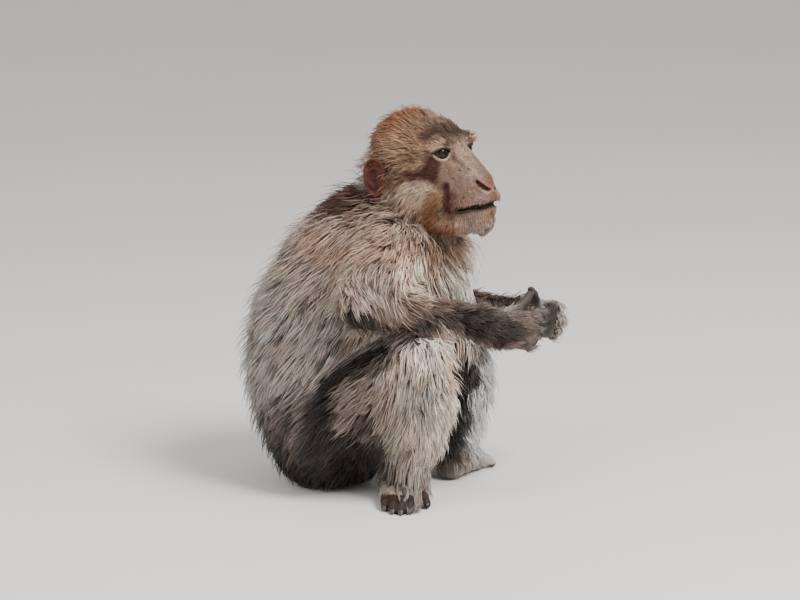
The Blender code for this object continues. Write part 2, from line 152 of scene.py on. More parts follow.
def head_axes():
    """The head's own frame, its left, back and up, seen from the middle of the skull."""
    left = inside("eye_left", 0.5, 0.5, 0.5)
    right = inside("eye_right", 0.5, 0.5, 0.5)
    across = left - right
    axes = Matrix.Rotation(math.atan2(across.y, across.x), 4, "Z") @ turned(-HEAD_LIFT, "X")
    return Matrix.Translation((left + right) / 2 - axes @ Vector((0, -EYE_FORWARD, EYE_UP))) @ axes


HEAD = head_axes()
EYE_RADIUS = (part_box("eye_right")[1].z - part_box("eye_right")[0].z) / 2


def on_head(side, front, up):
    return HEAD @ Vector((side, -front, up))


def within(axes, places):
    """Places as numbers in a frame of their own."""
    inverse = axes.inverted()
    return places @ np.array(inverse.to_3x3()).T + np.array(inverse.translation)


def in_head(places):
    """Places given as side, front and up in the head's own frame."""
    return within(HEAD, places) * (1, -1, 1)


def folded(places):
    """The same, with both sides of the head laid on its left side."""
    local = in_head(places)
    local[:, 0] = np.abs(local[:, 0])
    return local


JOINTS = {
    # joint: the node whose box holds it, and its place across, forward and up in that box, right and left
    "shoulder": ("upper_arm", (0.618, 0.552, 0.593), (0.404, 0.516, 0.669)),
    "elbow": ("forearm", (0.222, 0.112, 0.58), (0.709, 0.117, 0.536)),
    "mid_forearm": ("forearm", (0.646, 0.773, 0.365), (0.307, 0.738, 0.376)),
    "wrist": ("forearm", (0.845, 0.962, 0.221), (0.138, 0.935, 0.391)),
    "hip": ("thigh", (0.533, 0.306, 0.312), (0.465, 0.267, 0.378)),
    "knee": ("shin", (0.341, 0.594, 0.836), (0.703, 0.563, 0.843)),
    "calf": ("shin", (0.385, 0.627, 0.503), (0.652, 0.59, 0.499)),
    "ankle": ("foot", (0.742, 0.366, 1.0), (0.264, 0.357, 1.0)),
}


def joint(name, side):
    node, right, left = JOINTS[name]
    return inside(f"{node}_{SIDES[side]}", *(right if side < 0 else left))


def joints(side, *names):
    return [joint(name, side) for name in names]


# ---- mesh helpers


def new_object(name, data):
    obj = bpy.data.objects.new(name, data)
    bpy.context.scene.collection.objects.link(obj)
    return obj


def object_from(bm, name):
    mesh = bpy.data.meshes.new(name)
    bm.to_mesh(mesh)
    bm.free()
    return new_object(name, mesh)


def apply_modifiers(obj):
    """Makes the object's evaluated shape its own mesh."""
    graph = bpy.context.evaluated_depsgraph_get()
    mesh = bpy.data.meshes.new_from_object(obj.evaluated_get(graph))
    obj.modifiers.clear()
    obj.data = mesh
    return obj


def blend(obj, voxel, rounds):
    """Joins overlapping shapes into one skin and softens the creases between them."""
    remesh = obj.modifiers.new("join", "REMESH")
    remesh.mode = "VOXEL"
    remesh.voxel_size = voxel
    smooth = obj.modifiers.new("soften", "SMOOTH")
    smooth.factor = 0.5
    smooth.iterations = rounds
    return apply_modifiers(obj)


def joined(objects, name):
    """One object that holds the shapes of several, which are removed."""
    bm = bmesh.new()
    for obj in objects:
        bm.from_mesh(obj.data)
        bpy.data.objects.remove(obj)
    return object_from(bm, name)


def boolean(obj, other, operation):
    """Unites obj with another shape or cuts that shape out of it, and removes the other."""
    modifier = obj.modifiers.new(operation.lower(), "BOOLEAN")
    modifier.operation = operation
    modifier.solver = "EXACT"
    modifier.object = other
    apply_modifiers(obj)
    bpy.data.objects.remove(other)


def solids(nodes, name):
    """A copy of some of the solids as one object, with their loose triangles merged."""
    bm = bmesh.new()
    for node in nodes:
        bm.from_mesh(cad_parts[node].data)
    bmesh.ops.remove_doubles(bm, verts=bm.verts, dist=1e-5)
    return object_from(bm, name)


def sphere(bm, matrix, segments, radius=1.0):
    rings = segments * 2 // 3
    bmesh.ops.create_uvsphere(bm, u_segments=segments, v_segments=rings, radius=radius, matrix=matrix)


def add_ball(bm, centre, radii, axes, dip=0.0, segments=28):
    """An ellipsoid whose radii run across, forward and up in the axes given, its front dipped by degrees."""
    side, front, up = centre
    place = axes @ Matrix.Translation((side, -front, up)) @ turned(dip, "X")
    sphere(bm, place @ Matrix.Diagonal((*radii, 1.0)), segments)


def add_run(bm, points, radii, segments=20):
    """A run of balls along some points, and the cones between them."""
    for point, radius in zip(points, radii):
        sphere(bm, Matrix.Translation(point), segments, radius)
    for start, end, near, far in zip(points, points[1:], radii, radii[1:]):
        along = end - start
        place = Matrix.Translation((start + end) / 2) @ along.to_track_quat("Z", "Y").to_matrix().to_4x4()
        size = {"radius1": near, "radius2": far, "depth": along.length}
        bmesh.ops.create_cone(bm, cap_ends=True, segments=segments, matrix=place, **size)


def head_run(bm, points, radii):
    add_run(bm, [on_head(*point) for point in points], radii)


def read(items, key, columns, kind=np.float32):
    """One value of all the items of a mesh, as rows of numbers."""
    flat = np.empty(len(items) * columns, kind)
    items.foreach_get(key, flat)
    return flat.reshape(-1, columns)


def coordinates(mesh):
    return read(mesh.vertices, "co", 3, float)


def vertex_normals(mesh):
    return read(mesh.vertex_normals, "vector", 3).astype(float)


def set_coordinates(mesh, places):
    mesh.vertices.foreach_set("co", np.ascontiguousarray(places, np.float32).ravel())
    mesh.update()


def set_colours(mesh, name, colours):
    """Stores linear colours on the points of a mesh."""
    attribute = mesh.attributes.new(name, "FLOAT_COLOR", "POINT")
    rows = np.ones((len(mesh.vertices), 4), np.float32)
    rows[:, :3] = colours
    attribute.data.foreach_set("color", rows.ravel())


def shade_smooth(mesh):
    mesh.polygons.foreach_set("use_smooth", np.ones(len(mesh.polygons), bool))


def tree_of(mesh):
    """A search tree of a mesh's triangles."""
    corners = coordinates(mesh)
    mesh.calc_loop_triangles()
    triangles = read(mesh.loop_triangles, "vertices", 3, np.int32)
    return BVHTree.FromPolygons(corners.tolist(), triangles.tolist()), corners, triangles


def unit(rows):
    return rows / np.maximum(np.linalg.norm(rows, axis=-1, keepdims=True), 1e-9)


def smooth_step(low, high, values):
    t = np.clip((values - low) / (high - low), 0, 1)
    return t * t * (3 - 2 * t)


def lerp(first, second, share):
    return first * (1 - share) + second * share


def to_segments(places, points):
    """The distance of each place to a line through some points."""
    best = np.full(len(places), 1e9)
    points = [np.array(point) for point in points]
    for start, end in zip(points, points[1:]):
        along = end - start
        share = np.clip((places - start) @ along / (along @ along), 0, 1)
        best = np.minimum(best, np.linalg.norm(places - start - share[:, None] * along, axis=1))
    return best


def from_patch(places, middle, reach):
    """How far places are from the middle of a soft patch, a place or a line, as a share of its reach."""
    line = [tuple(point) for point in middle] if np.ndim(middle) > 1 else middle
    points = np.atleast_2d(np.array(line, float))
    best = np.full(len(places), 1e9)
    for start, end in zip(points, points[1:] if len(points) > 1 else points):
        along = end - start
        share = np.clip((places - start) @ along / max(along @ along, 1e-12), 0, 1)
        best = np.minimum(best, np.linalg.norm((places - start - share[:, None] * along) / reach, axis=1))
    return best


def linear(colour):
    """An sRGB hex colour as linear numbers."""
    values = [int(colour[index : index + 2], 16) / 255 for index in (1, 3, 5)]
    return np.array([v / 12.92 if v <= 0.04045 else ((v + 0.055) / 1.055) ** 2.4 for v in values])


# ---- the regions of the body


class Region:
    """A stretch of the body: the line it lies round, its girth, its coat, and how that coat lies."""

    def __init__(self, line, girth, depth, length, width, tone, along=0.0, down=0.0, back=0.0, front=0.0):
        self.line = [np.array(point) for point in line]
        self.girth, self.depth, self.length, self.width = girth, depth, length, width
        self.tone = linear(tone)
        self.along, self.down, self.back, self.front = along, down, back, front

    def away(self, places):
        return np.maximum(to_segments(places, self.line) - self.girth, 0)


LIMBS = {
    # limb: its joints, its girth, depth, length and width of its coat, its tone, and how that coat lies
    "upper_arm": (("shoulder", "elbow"), 0.03, 0.013, 0.027, 0.0014, "#a99486", 1.0, 0.35),
    "forearm": (("elbow", "mid_forearm", "wrist"), 0.018, 0.008, 0.019, 0.0012, "#68554a", 1.0, 0.15),
    "hand": (("wrist",), 0.015, 0.003, 0.012, 0.0008, "#7d6d64", 1.0, 0.15),
    "thigh": (("hip", "knee"), 0.038, 0.014, 0.025, 0.0014, "#87786d", 0.0, 0.75, 0.75, 0.0),
    "shin": (("knee", "calf", "ankle"), 0.024, 0.0095, 0.025, 0.0013, "#d0c0b4", 1.0, 0.25, 0.0, 0.12),
    "foot": (("ankle",), 0.014, 0.002, 0.0085, 0.0008, "#94887c", 1.0),
}


def regions():
    """The regions by name. Depth, length and width of the coat are in metres."""
    seat, loin = inside("trunk", 0.5, 0.4, 0.15), inside("trunk", 0.5, 0.38, 0.5)
    chest, nape = inside("trunk", 0.5, 0.6, 0.76), inside("neck", 0.5, 0.62, 0.98)
    head = [on_head(0, -0.012, -0.004), on_head(0, 0.045, -0.035)]
    rump, back = [seat, seat.lerp(loin, 0.4)], [loin, loin.lerp(chest, 0.45)]
    breast, neck = [loin.lerp(chest, 0.75), chest], [chest.lerp(nape, 0.6), nape]
    made = {
        # the rump's tone: dark brown coat, darkened further with painted shade low on the seat
        "rump": Region(rump, 0.075, 0.016, 0.026, 0.0016, "#2b221c", 0.0, 0.8, 0.3, 0.2),
        "loin": Region(back, 0.082, 0.017, 0.031, 0.0016, "#a89d96", 0.0, 1.0, 0.5, 0.2),
        "chest": Region(breast, 0.072, 0.016, 0.03, 0.0015, "#ad9788", 0.0, 0.9, 0.75, 0.35),
        "neck": Region(neck, 0.045, 0.014, 0.024, 0.0013, "#7d6353", 0.0, 0.8, 0.8, 0.3),
        "head": Region(head, 0.038, 0.018, 0.014, 0.001, "#8f7058"),
    }
    for side, name in SIDES.items():
        ends = {
            "hand": [inside(f"hand_{name}", 0.5, 0.5, 0.45)],
            "foot": [inside(f"foot_{name}", 0.5 + side * 0.2, 0.62, 0.3)],
        }
        for limb, (line, *coat) in LIMBS.items():
            made[f"{limb}_{name}"] = Region(joints(side, *line) + ends.get(limb, []), *coat)
    return made


REGIONS = regions()
NAMES = list(REGIONS)
REGION_BLEND = 0.011  # distance over which one region passes into the next


def shares(places):
    """How much of each region there is at each place."""
    near = np.stack([REGIONS[name].away(places) for name in NAMES], axis=1)
    near = near - near.min(axis=1, keepdims=True)
    weights = np.exp(-((near / REGION_BLEND) ** 2))
    return weights / weights.sum(axis=1, keepdims=True)


def mixed(weights, key):
    """A number or colour of the regions, mixed by their shares."""
    return weights @ np.array([getattr(REGIONS[name], key) for name in NAMES])


def share_of(weights, name):
    return weights[:, NAMES.index(name)]


FACE_MIDDLE = np.array((0.0, 0.066, -0.012))  # the hair of the head lies away from here
CREST = 0.1  # distance from there to the crown


def head_length(local):
    """Length of the hair of the head. It grows from the face towards crown, cheeks and nape."""
    away = np.linalg.norm((local - FACE_MIDDLE) * (1.05, 1.0, 1.0), axis=1)
    return 0.003 + 0.0165 * smooth_step(0.034, CREST, away)


BACK_SPLIT = 0.095  # in front of this the hair of the trunk lies forwards


def combed(places, normals, weights):
    """The direction in which the hair lies, along the surface."""
    total = np.zeros_like(places)
    split = np.tanh((places[:, 1] + BACK_SPLIT) / 0.03)[:, None]
    outwards = (np.tanh(places[:, 0] / 0.03) * np.maximum(normals[:, 2], 0))[:, None] * (0.5, 0, 0)
    for index, name in enumerate(NAMES):
        region = REGIONS[name]
        if name == "head":
            local = in_head(places)
            away = unit(local - FACE_MIDDLE)
            away[:, 1] -= 0.55 * smooth_step(0.0, 0.04, np.abs(local[:, 0]))
            away[:, 2] -= 0.3 * smooth_step(0.0, -0.05, local[:, 2])
            heading = (away * (1, -1, 1)) @ np.array(HEAD.to_3x3()).T
        else:
            lean = np.where(split > 0, region.back, region.front) * split
            heading = lean * (0, 1, 0) + outwards * region.back - (0, 0, region.down)
            if region.along:
                steps = [end - start for start, end in zip(region.line, region.line[1:])]
                marks = np.stack([to_segments(places, pair) for pair in zip(region.line, region.line[1:])])
                heading = heading + region.along * unit(np.array(steps))[marks.argmin(axis=0)]
        total += weights[:, index : index + 1] * unit(heading)
    along = total - normals * (total * normals).sum(axis=1, keepdims=True)
    return unit(along)


# ---- the head


def add_skull(bm):
    """The skin over brain case, jaws and neck, a coat's depth inside the outline."""
    add_ball(bm, (0, 0.0, 0.003), (0.042, 0.0445, 0.041), HEAD)
    add_ball(bm, (0, 0.026, 0.004), (0.038, 0.033, 0.035), HEAD)
    add_ball(bm, (0, -0.018, -0.016), (0.035, 0.035, 0.032), HEAD)
    add_ball(bm, (0, 0.022, -0.046), (0.033, 0.038, 0.024), HEAD)
    neck = [on_head(0, -0.008, -0.03), inside("neck", 0.5, 0.55, 0.72), inside("neck", 0.5, 0.5, 0.35)]
    add_run(bm, neck, [0.033, 0.04, 0.046])
    for side in SIDES:
        add_ball(bm, (side * 0.029, 0.014, -0.034), (0.018, 0.04, 0.028), HEAD)


def add_face(bm):
    """Brow ridge, cheekbones, muzzle, nose, lips, chin and jaws."""
    brow = [(-0.035, 0.034, 0.011), (-0.023, 0.05, 0.0165), (0, 0.055, 0.015)]
    brow += [(0.023, 0.05, 0.0165), (0.035, 0.034, 0.011)]
    head_run(bm, brow, [0.007, 0.008, 0.0085, 0.008, 0.007])
    add_ball(bm, (0, 0.028, -0.008), (0.037, 0.0305, 0.035), HEAD)
    head_run(bm, [(0, 0.056, 0.008), (0, 0.073, -0.01), (0, 0.091, -0.029)], [0.0102, 0.0108, 0.0112])
    head_run(bm, [(0, 0.03, -0.032), (0, 0.062, -0.04), (0, 0.085, -0.046)], [0.0345, 0.0285, 0.02])
    add_ball(bm, (0, 0.0895, -0.045), (0.02, 0.0172, 0.01), HEAD, 6)
    add_ball(bm, (0, 0.096, -0.035), (0.0115, 0.0078, 0.0068), HEAD)
    head_run(bm, [(0, 0.05, -0.06), (0, 0.083, -0.065)], [0.027, 0.0168])
    add_ball(bm, (0, 0.0865, -0.06), (0.0165, 0.0155, 0.0076), HEAD)
    add_ball(bm, (0, 0.079, -0.073), (0.014, 0.0145, 0.011), HEAD)
    for side in SIDES:
        head_run(bm, [(side * 0.036, 0.031, -0.008), (side * 0.04, 0.01, -0.014)], [0.0085, 0.009])
        head_run(bm, [(side * 0.02, 0.046, -0.016), (side * 0.013, 0.069, -0.033)], [0.0185, 0.017])
        head_run(bm, [(side * 0.025, 0.042, -0.046), (side * 0.015, 0.074, -0.053)], [0.019, 0.0145])
        head_run(bm, [(side * 0.026, 0.011, -0.056), (side * 0.011, 0.063, -0.068)], [0.019, 0.0175])


EYE_SIDE = 0.02
LID_THICKNESS = 0.0016
OPENING_TURN = 24.0  # degrees that the opening between the lids faces outwards
OPENING_HALF_WIDTH = 0.0102
OPENING_UP = 0.0046
OPENING_DOWN = 0.006


def eye_middle(side):
    return HEAD @ Matrix.Translation((side * EYE_SIDE, -EYE_FORWARD, EYE_UP))


def eye_axes(side):
    """The frame of an eye and its lids, which face forwards along -Y and a little outwards."""
    return eye_middle(side) @ turned(side * OPENING_TURN, "Z")


def lids(bm, side):
    """The lids as one shell round the eye, with the fold of the upper lid and the pouch of the lower one."""
    axes = eye_axes(side)
    add_ball(bm, (0, 0, 0), [EYE_RADIUS + LID_THICKNESS] * 3, axes, segments=40)
    arc = [Vector((math.sin(a), -math.cos(a), 0)) for a in np.linspace(-1.15, 1.15, 9)]
    rim = EYE_RADIUS + 0.0008

    def fold(out, height, drop, radius):
        line = [spot * rim * out + Vector((0, 0, height * (1 - drop * spot.x**2))) for spot in arc]
        add_run(bm, [axes @ spot for spot in line], [radius] * len(arc), 10)

    fold(0.93, OPENING_UP * 1.35, 0.45, 0.0017)
    fold(0.9, -OPENING_DOWN * 1.15, 0.55, 0.0018)


def lid_opening(side):
    """The almond between the lids, as a cutter that reaches from in front of the face to the eye's middle."""
    bm = bmesh.new()
    made = bmesh.ops.create_circle(bm, cap_ends=True, segments=40, radius=1.0)
    for vert in made["verts"]:
        across, height = vert.co.x, math.copysign(1 - abs(vert.co.x) ** 2.2, vert.co.y)
        reach = OPENING_UP if height > 0 else OPENING_DOWN
        vert.co = Vector((across * OPENING_HALF_WIDTH, -0.03, height * reach))
    face = bm.faces[:]
    grown = bmesh.ops.extrude_face_region(bm, geom=face)
    moved = [item for item in grown["geom"] if isinstance(item, bmesh.types.BMVert)]
    bmesh.ops.translate(bm, verts=moved, vec=(0, 0.03, 0))
    bmesh.ops.recalc_face_normals(bm, faces=bm.faces)
    bmesh.ops.transform(bm, matrix=eye_axes(side), verts=bm.verts)
    return object_from(bm, "lid_opening")


def eye_socket(side):
    bm = bmesh.new()
    add_ball(bm, (0, 0, 0), [EYE_RADIUS + 0.0002] * 3, eye_axes(side), segments=48)
    return object_from(bm, "eye_socket")


EAR_FLARE = 16.0  # degrees that the rear edge of an ear stands off the head
EAR_LEAN = 8.0  # degrees that its top leans forwards


def ear_axes(side):
    """The frame of an ear, in the middle of its solid. It flares and leans as the solid does."""
    middle = inside(f"ear_{SIDES[side]}", 0.5, 0.5, 0.5)
    turn = HEAD.to_3x3().to_4x4() @ turned(-side * EAR_FLARE, "Z")
    return Matrix.Translation(middle) @ turn @ turned(EAR_LEAN, "X")


def add_ear(bm, side):
    """A thin upright plate with a rolled rim, a blunt point at its upper back and ridges round its canal."""
    axes = ear_axes(side)

    def spot(out, front, up):
        return axes @ Vector((side * out, -front, up))

    rim = [
        (-0.0005, 0.009, -0.012),
        (0.0, 0.0112, 0.0),
        (0.0005, 0.0102, 0.011),
        (0.001, 0.0045, 0.0185),
        (0.0012, -0.0036, 0.0202),
        (0.0015, -0.0108, 0.015),
        (0.0012, -0.0124, 0.0045),
        (0.0008, -0.0104, -0.008),
        (0.0004, -0.0054, -0.0165),
        (0.0, 0.0018, -0.0195),
        (-0.0005, 0.0072, -0.0165),
    ]
    add_run(bm, [spot(*place) for place in rim], [0.0022] + [0.0019] * 8 + [0.003, 0.0026], 12)
    plate = axes @ Matrix.Translation((-side * 0.0016, 0.001, 0.0))
    add_ball(bm, (0, 0, 0.0005), (0.0014, 0.011, 0.0185), plate, segments=32)
    inner = [(0.0008, 0.0065, 0.008), (0.0012, -0.001, 0.0115), (0.0014, -0.0075, 0.006)]
    inner += [(0.001, -0.007, -0.005), (0.0005, -0.001, -0.011)]
    add_run(bm, [spot(*place) for place in inner], [0.0014, 0.0016, 0.0018, 0.0018, 0.0016], 10)
    add_ball(bm, (side * 0.0005, -0.0075, -0.0045), (0.0028, 0.003, 0.0048), axes, segments=16)
    root = [spot(-0.0035, 0.004, 0.006), spot(-0.004, 0.0045, -0.008)]
    add_run(bm, root, [0.0058, 0.0058], 14)


MOUTH = (
    # the line between the lips, from the middle to the corner: side, front, up
    (0.0, 0.1045, -0.0518),
    (0.006, 0.1025, -0.0522),
    (0.0115, 0.0985, -0.053),
    (0.018, 0.0925, -0.0542),
    (0.0235, 0.086, -0.0552),
    (0.027, 0.078, -0.0562),
)
MOUTH_OPEN = (0.002, 0.0033, 0.0037, 0.0029, 0.0016, 0.0007)  # half its height at each of those points
NOSTRIL = (
    (0.0108, 0.0915, -0.0272),
    (0.01, 0.096, -0.0312),
    (0.0082, 0.1, -0.0346),
    (0.0062, 0.1015, -0.0362),
)
NOSTRIL_OPEN = (0.0007, 0.0013, 0.0016, 0.001)
SLIT_VOXEL = 0.0009


def laid_on(tree, path, side):
    """The places on the skin nearest to a path given on the left side of the head."""
    return [tree.find_nearest(on_head(across * side, front, up))[0] for across, front, up in path]


def slit(tree, path, half_heights, inward, name):
    """A cutter on both sides of the head that opens the skin along a path, as high as it is given there."""
    bm = bmesh.new()
    for side in SIDES:
        line = [in_head(np.array([place]))[0] for place in laid_on(tree, path, side)]
        for start, end, near, far in zip(line, line[1:], half_heights, half_heights[1:]):
            for share in (0.0, 0.34, 0.67, 1.0):
                spot = start * (1 - share) + end * share
                tall = near + (far - near) * share
                add_ball(bm, spot, (inward, inward, tall), HEAD, segments=14)
    return blend(object_from(bm, name), SLIT_VOXEL, 2)


FACE_FOLDS = (
    # path on one side of the face, half width, how far it sinks (or stands out, below zero). In order: wing
    # and ridge of the nose, side of its bridge, pouch of the eye and its fold, crease and roll of the brow,
    # hollow beside the eye, folds of cheek, lip and chin, and the groove of the upper lip
    (((0.011, 0.088, -0.025), (0.014, 0.09, -0.033), (0.012, 0.095, -0.04)), 0.0022, 0.0012),
    (((0.0, 0.064, 0.002), (0.0, 0.09, -0.02)), 0.005, -0.0006),
    (((0.01, 0.062, -0.002), (0.015, 0.078, -0.022)), 0.0035, 0.0012),
    (((0.009, 0.056, -0.0085), (0.02, 0.053, -0.011), (0.03, 0.044, -0.008)), 0.0016, 0.0009),
    (((0.011, 0.059, -0.013), (0.022, 0.054, -0.0165), (0.032, 0.043, -0.012)), 0.0018, 0.0008),
    (((0.006, 0.06, 0.012), (0.02, 0.057, 0.0115), (0.032, 0.043, 0.008)), 0.0018, 0.0014),
    (((0.01, 0.06, 0.0185), (0.024, 0.056, 0.0165), (0.033, 0.05, 0.01)), 0.005, -0.0022),
    (((0.032, 0.054, -0.006), (0.035, 0.0545, -0.018), (0.0345, 0.055, -0.024)), 0.006, 0.0022),
    (((0.032, 0.0655, -0.031), (0.032, 0.065, -0.04), (0.0315, 0.0655, -0.057)), 0.0034, 0.0036),
    (((0.018, 0.093, -0.039), (0.026, 0.082, -0.046), (0.029, 0.074, -0.054)), 0.0028, 0.001),
    (((0.0, 0.1, -0.066), (0.012, 0.094, -0.0665)), 0.0024, 0.001),
    (((0.0, 0.104, -0.04), (0.0, 0.106, -0.048)), 0.0016, 0.0007),
)


def fold_skin(mesh):
    """Sinks or lifts the skin along the folds of the face, on both sides."""
    tree, _, _ = tree_of(mesh)
    places = coordinates(mesh)
    normals = vertex_normals(mesh)
    shift = np.zeros(len(places))
    for path, half_width, depth in FACE_FOLDS:
        for side in SIDES:
            away = to_segments(places, laid_on(tree, path, side))
            if max(abs(point[0]) for point in path) < 0.001 and side > 0:
                continue
            shift -= depth * np.exp(-((away / half_width) ** 2))
    set_coordinates(mesh, places + normals * shift[:, None])


def head_skin(settings):
    """The head with its neck, at a finer mesh size than the body."""
    bm = bmesh.new()
    add_skull(bm)
    add_face(bm)
    forms = blend(object_from(bm, "forms"), settings.form_voxel, 7)
    bm = bmesh.new()
    for side in SIDES:
        lids(bm, side)
        add_ear(bm, side)
    head = blend(joined([forms, object_from(bm, "details")], "head_skin"), settings.face_voxel, 3)
    fold_skin(head.data)
    tree, _, _ = tree_of(head.data)
    boolean(head, slit(tree, MOUTH, MOUTH_OPEN, 0.0042, "mouth"), "DIFFERENCE")
    boolean(head, slit(tree, NOSTRIL, NOSTRIL_OPEN, 0.003, "nostrils"), "DIFFERENCE")
    for side in SIDES:
        boolean(head, eye_socket(side), "DIFFERENCE")
        boolean(head, lid_opening(side), "DIFFERENCE")
    return head


# ---- hands and feet


def digit(start, heading, hinge, lengths, bends):
    """Points along a finger or toe that bends at each joint about hinge."""
    points = [start]
    bent = 0.0
    for length, bend in zip(lengths, bends):
        bent += bend
        points.append(points[-1] + Matrix.Rotation(math.radians(bent), 3, hinge) @ heading * length)
    return points


NAILS = {}  # hand or foot and side: where each of its nails lies
DIGITS = []  # the bare stretches of fingers and toes
FINGER_RADII = (0.0066, 0.0052, 0.0056, 0.0047, 0.0051, 0.0044, 0.0042)  # at each knuckle, and between them


def add_digit(bm, nails, points, hinge, bare, scale=1.0):
    """A finger or toe, a little thicker at its joints and pads. Notes its nail and its bare stretch."""
    line = []
    for start, end in zip(points, points[1:]):
        line += [start, start.lerp(end, 0.5)]
    add_run(bm, [*line, points[-1]], [radius * scale for radius in FINGER_RADII], 14)
    DIGITS.append(bare)
    along = (points[-1] - points[-2]).normalized()
    nails.append((points[-1], along, along.cross(hinge).normalized()))


HAND_ALONG = {-1: Vector((0.28, -0.94, -0.16)), 1: Vector((-0.74, -0.66, 0.06))}
FINGER_LENGTHS = (0.02, 0.015, 0.011)
FINGER_BENDS = {
    -1: ((40, 58, 46), (44, 60, 48), (46, 62, 50), (50, 62, 50)),
    1: ((26, 50, 44), (38, 58, 46), (42, 60, 48), (46, 60, 50)),
}
FINGER_ROW = ((0.013, 0.03, 0.94), (0.0045, 0.033, 1.0), (-0.0045, 0.032, 0.97), (-0.013, 0.029, 0.86))
THUMB_LENGTHS = (0.015, 0.012, 0.01)


def hand_skin(side, settings):
    """A hand, thumb uppermost, with its fingers bent round what it held. It begins inside the wrist."""
    before, wrist = joints(side, "mid_forearm", "wrist")
    along = HAND_ALONG[side].normalized()
    across = Vector((0, 0, 1)).cross(along).normalized()
    thumbward = along.cross(across)
    inward = across if across.dot(Vector((-side, 0.4, 0))) > 0 else -across
    hinge = along.cross(inward).normalized()
    nails = NAILS["hand", side] = []
    bm = bmesh.new()
    add_run(bm, [before.lerp(wrist, 0.4), wrist, wrist + along * 0.014], [0.015, 0.0155, 0.0145])

    def finger(points, scale=1.0):
        add_digit(bm, nails, points, hinge, [points[0].lerp(points[1], 0.5), *points[1:]], scale)

    for (row, base, size), bends in zip(FINGER_ROW, FINGER_BENDS[side]):
        knuckle = wrist + along * base + thumbward * row
        root = wrist + along * 0.008 + thumbward * row * 0.6
        add_run(bm, [root, knuckle], [0.0112, 0.0082], 14)
        finger(digit(knuckle, along, hinge, [length * size for length in FINGER_LENGTHS], bends))
    root = wrist + along * 0.008 + thumbward * 0.012 + inward * 0.008
    heading = (along * 0.7 + thumbward * 0.62 + inward * 0.34).normalized()
    finger(digit(root, heading, hinge, THUMB_LENGTHS, (0, 14, 18)), 1.08)
    return blend(object_from(bm, "hand_skin"), settings.digit_voxel, 3)


FOOT_SPLAY = {-1: 84.0, 1: 82.0}
TOE_ROW = ((0.0132, 0.041, 1.0), (0.004, 0.044, 1.04), (-0.0054, 0.042, 1.0), (-0.0144, 0.036, 0.86))
TOE_LENGTHS = (0.014, 0.011, 0.008)
TOE_BENDS = (-14, 30, 34)
GREAT_TOE_LENGTHS = (0.019, 0.013, 0.01)
SOLE_HEIGHT = 0.0002  # the soles stay this far above the floor


def foot_skin(side, settings):
    """A foot flat on the floor, splayed outwards, its great toe set apart on the inner side."""
    calf, ankle = joints(side, "calf", "ankle")
    splay = math.radians(FOOT_SPLAY[side])
    along = Vector((side * math.sin(splay), -math.cos(splay), 0))
    inner = Vector((-side * math.cos(splay), -math.sin(splay), 0))
    hinge = along.cross(DOWN).normalized()
    sole = Vector((ankle.x, ankle.y, 0.0))
    up = Vector((0, 0, 1))
    nails = NAILS["foot", side] = []
    bm = bmesh.new()
    add_run(bm, [ankle.lerp(calf, 0.35), ankle], [0.018, 0.0175])
    add_run(bm, [sole - along * 0.012 + up * 0.0135, sole + along * 0.01 + up * 0.02], [0.0135, 0.017])
    for row, base, size in TOE_ROW:
        ball = sole + along * base + inner * row + up * 0.0085
        instep = sole + along * 0.012 + inner * row * 0.55 + up * 0.018
        add_run(bm, [instep, ball], [0.015, 0.0078], 14)
        points = digit(ball, along, hinge, [length * size for length in TOE_LENGTHS], TOE_BENDS)
        add_digit(bm, nails, points, hinge, points[1:], 0.98)
    root = sole + along * 0.012 + inner * 0.014 + up * 0.014
    heading = (along * 0.92 + inner * 0.38).normalized()
    points = digit(root, heading, hinge, GREAT_TOE_LENGTHS, (2, 12, 20))
    add_digit(bm, nails, points, hinge, points[1:], 1.24)
    foot = blend(object_from(bm, "foot_skin"), settings.digit_voxel, 3)
    places = coordinates(foot.data)
    places[:, 2] = np.maximum(places[:, 2], SOLE_HEIGHT)
    set_coordinates(foot.data, places)
    return foot


# ---- the body


PAIRS = [f"{limb}_{side}" for limb in ("upper_arm", "thigh", "shin") for side in ("left", "right")]
ARMS = [(f"upper_arm_{side}", f"forearm_{side}") for side in ("left", "right")]
BODY_GROUPS = (("trunk", "neck", *PAIRS), *ARMS)
SKIN_GAP = 0.0006  # the skin stays this far above the floor


def sink(mesh):
    """Moves the surface of the outline in by the depth of the coat."""
    places = coordinates(mesh)
    depth = mixed(shares(places), "depth")
    sunk = places - vertex_normals(mesh) * depth[:, None]
    sunk[:, 2] = np.maximum(sunk[:, 2], SKIN_GAP)
    set_coordinates(mesh, sunk)


def body_skin(settings):
    """Trunk and limbs, sunk from their solids. Arms are sunk apart, so that they stay clear of the knees."""
    cores = []
    for group in BODY_GROUPS:
        core = blend(solids(group, "core"), settings.body_voxel, 3)
        sink(core.data)
        cores.append(core)
    return blend(joined(cores, "skin"), settings.body_voxel, 5)


def finish_piece(obj, name, material):
    """Names a piece, gives it its finish and lets it ride on the body."""
    obj.name = name
    obj.data.name = name
    obj.data.materials.clear()
    obj.data.materials.append(material)
    shade_smooth(obj.data)
    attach(obj, "root")


# ---- colours


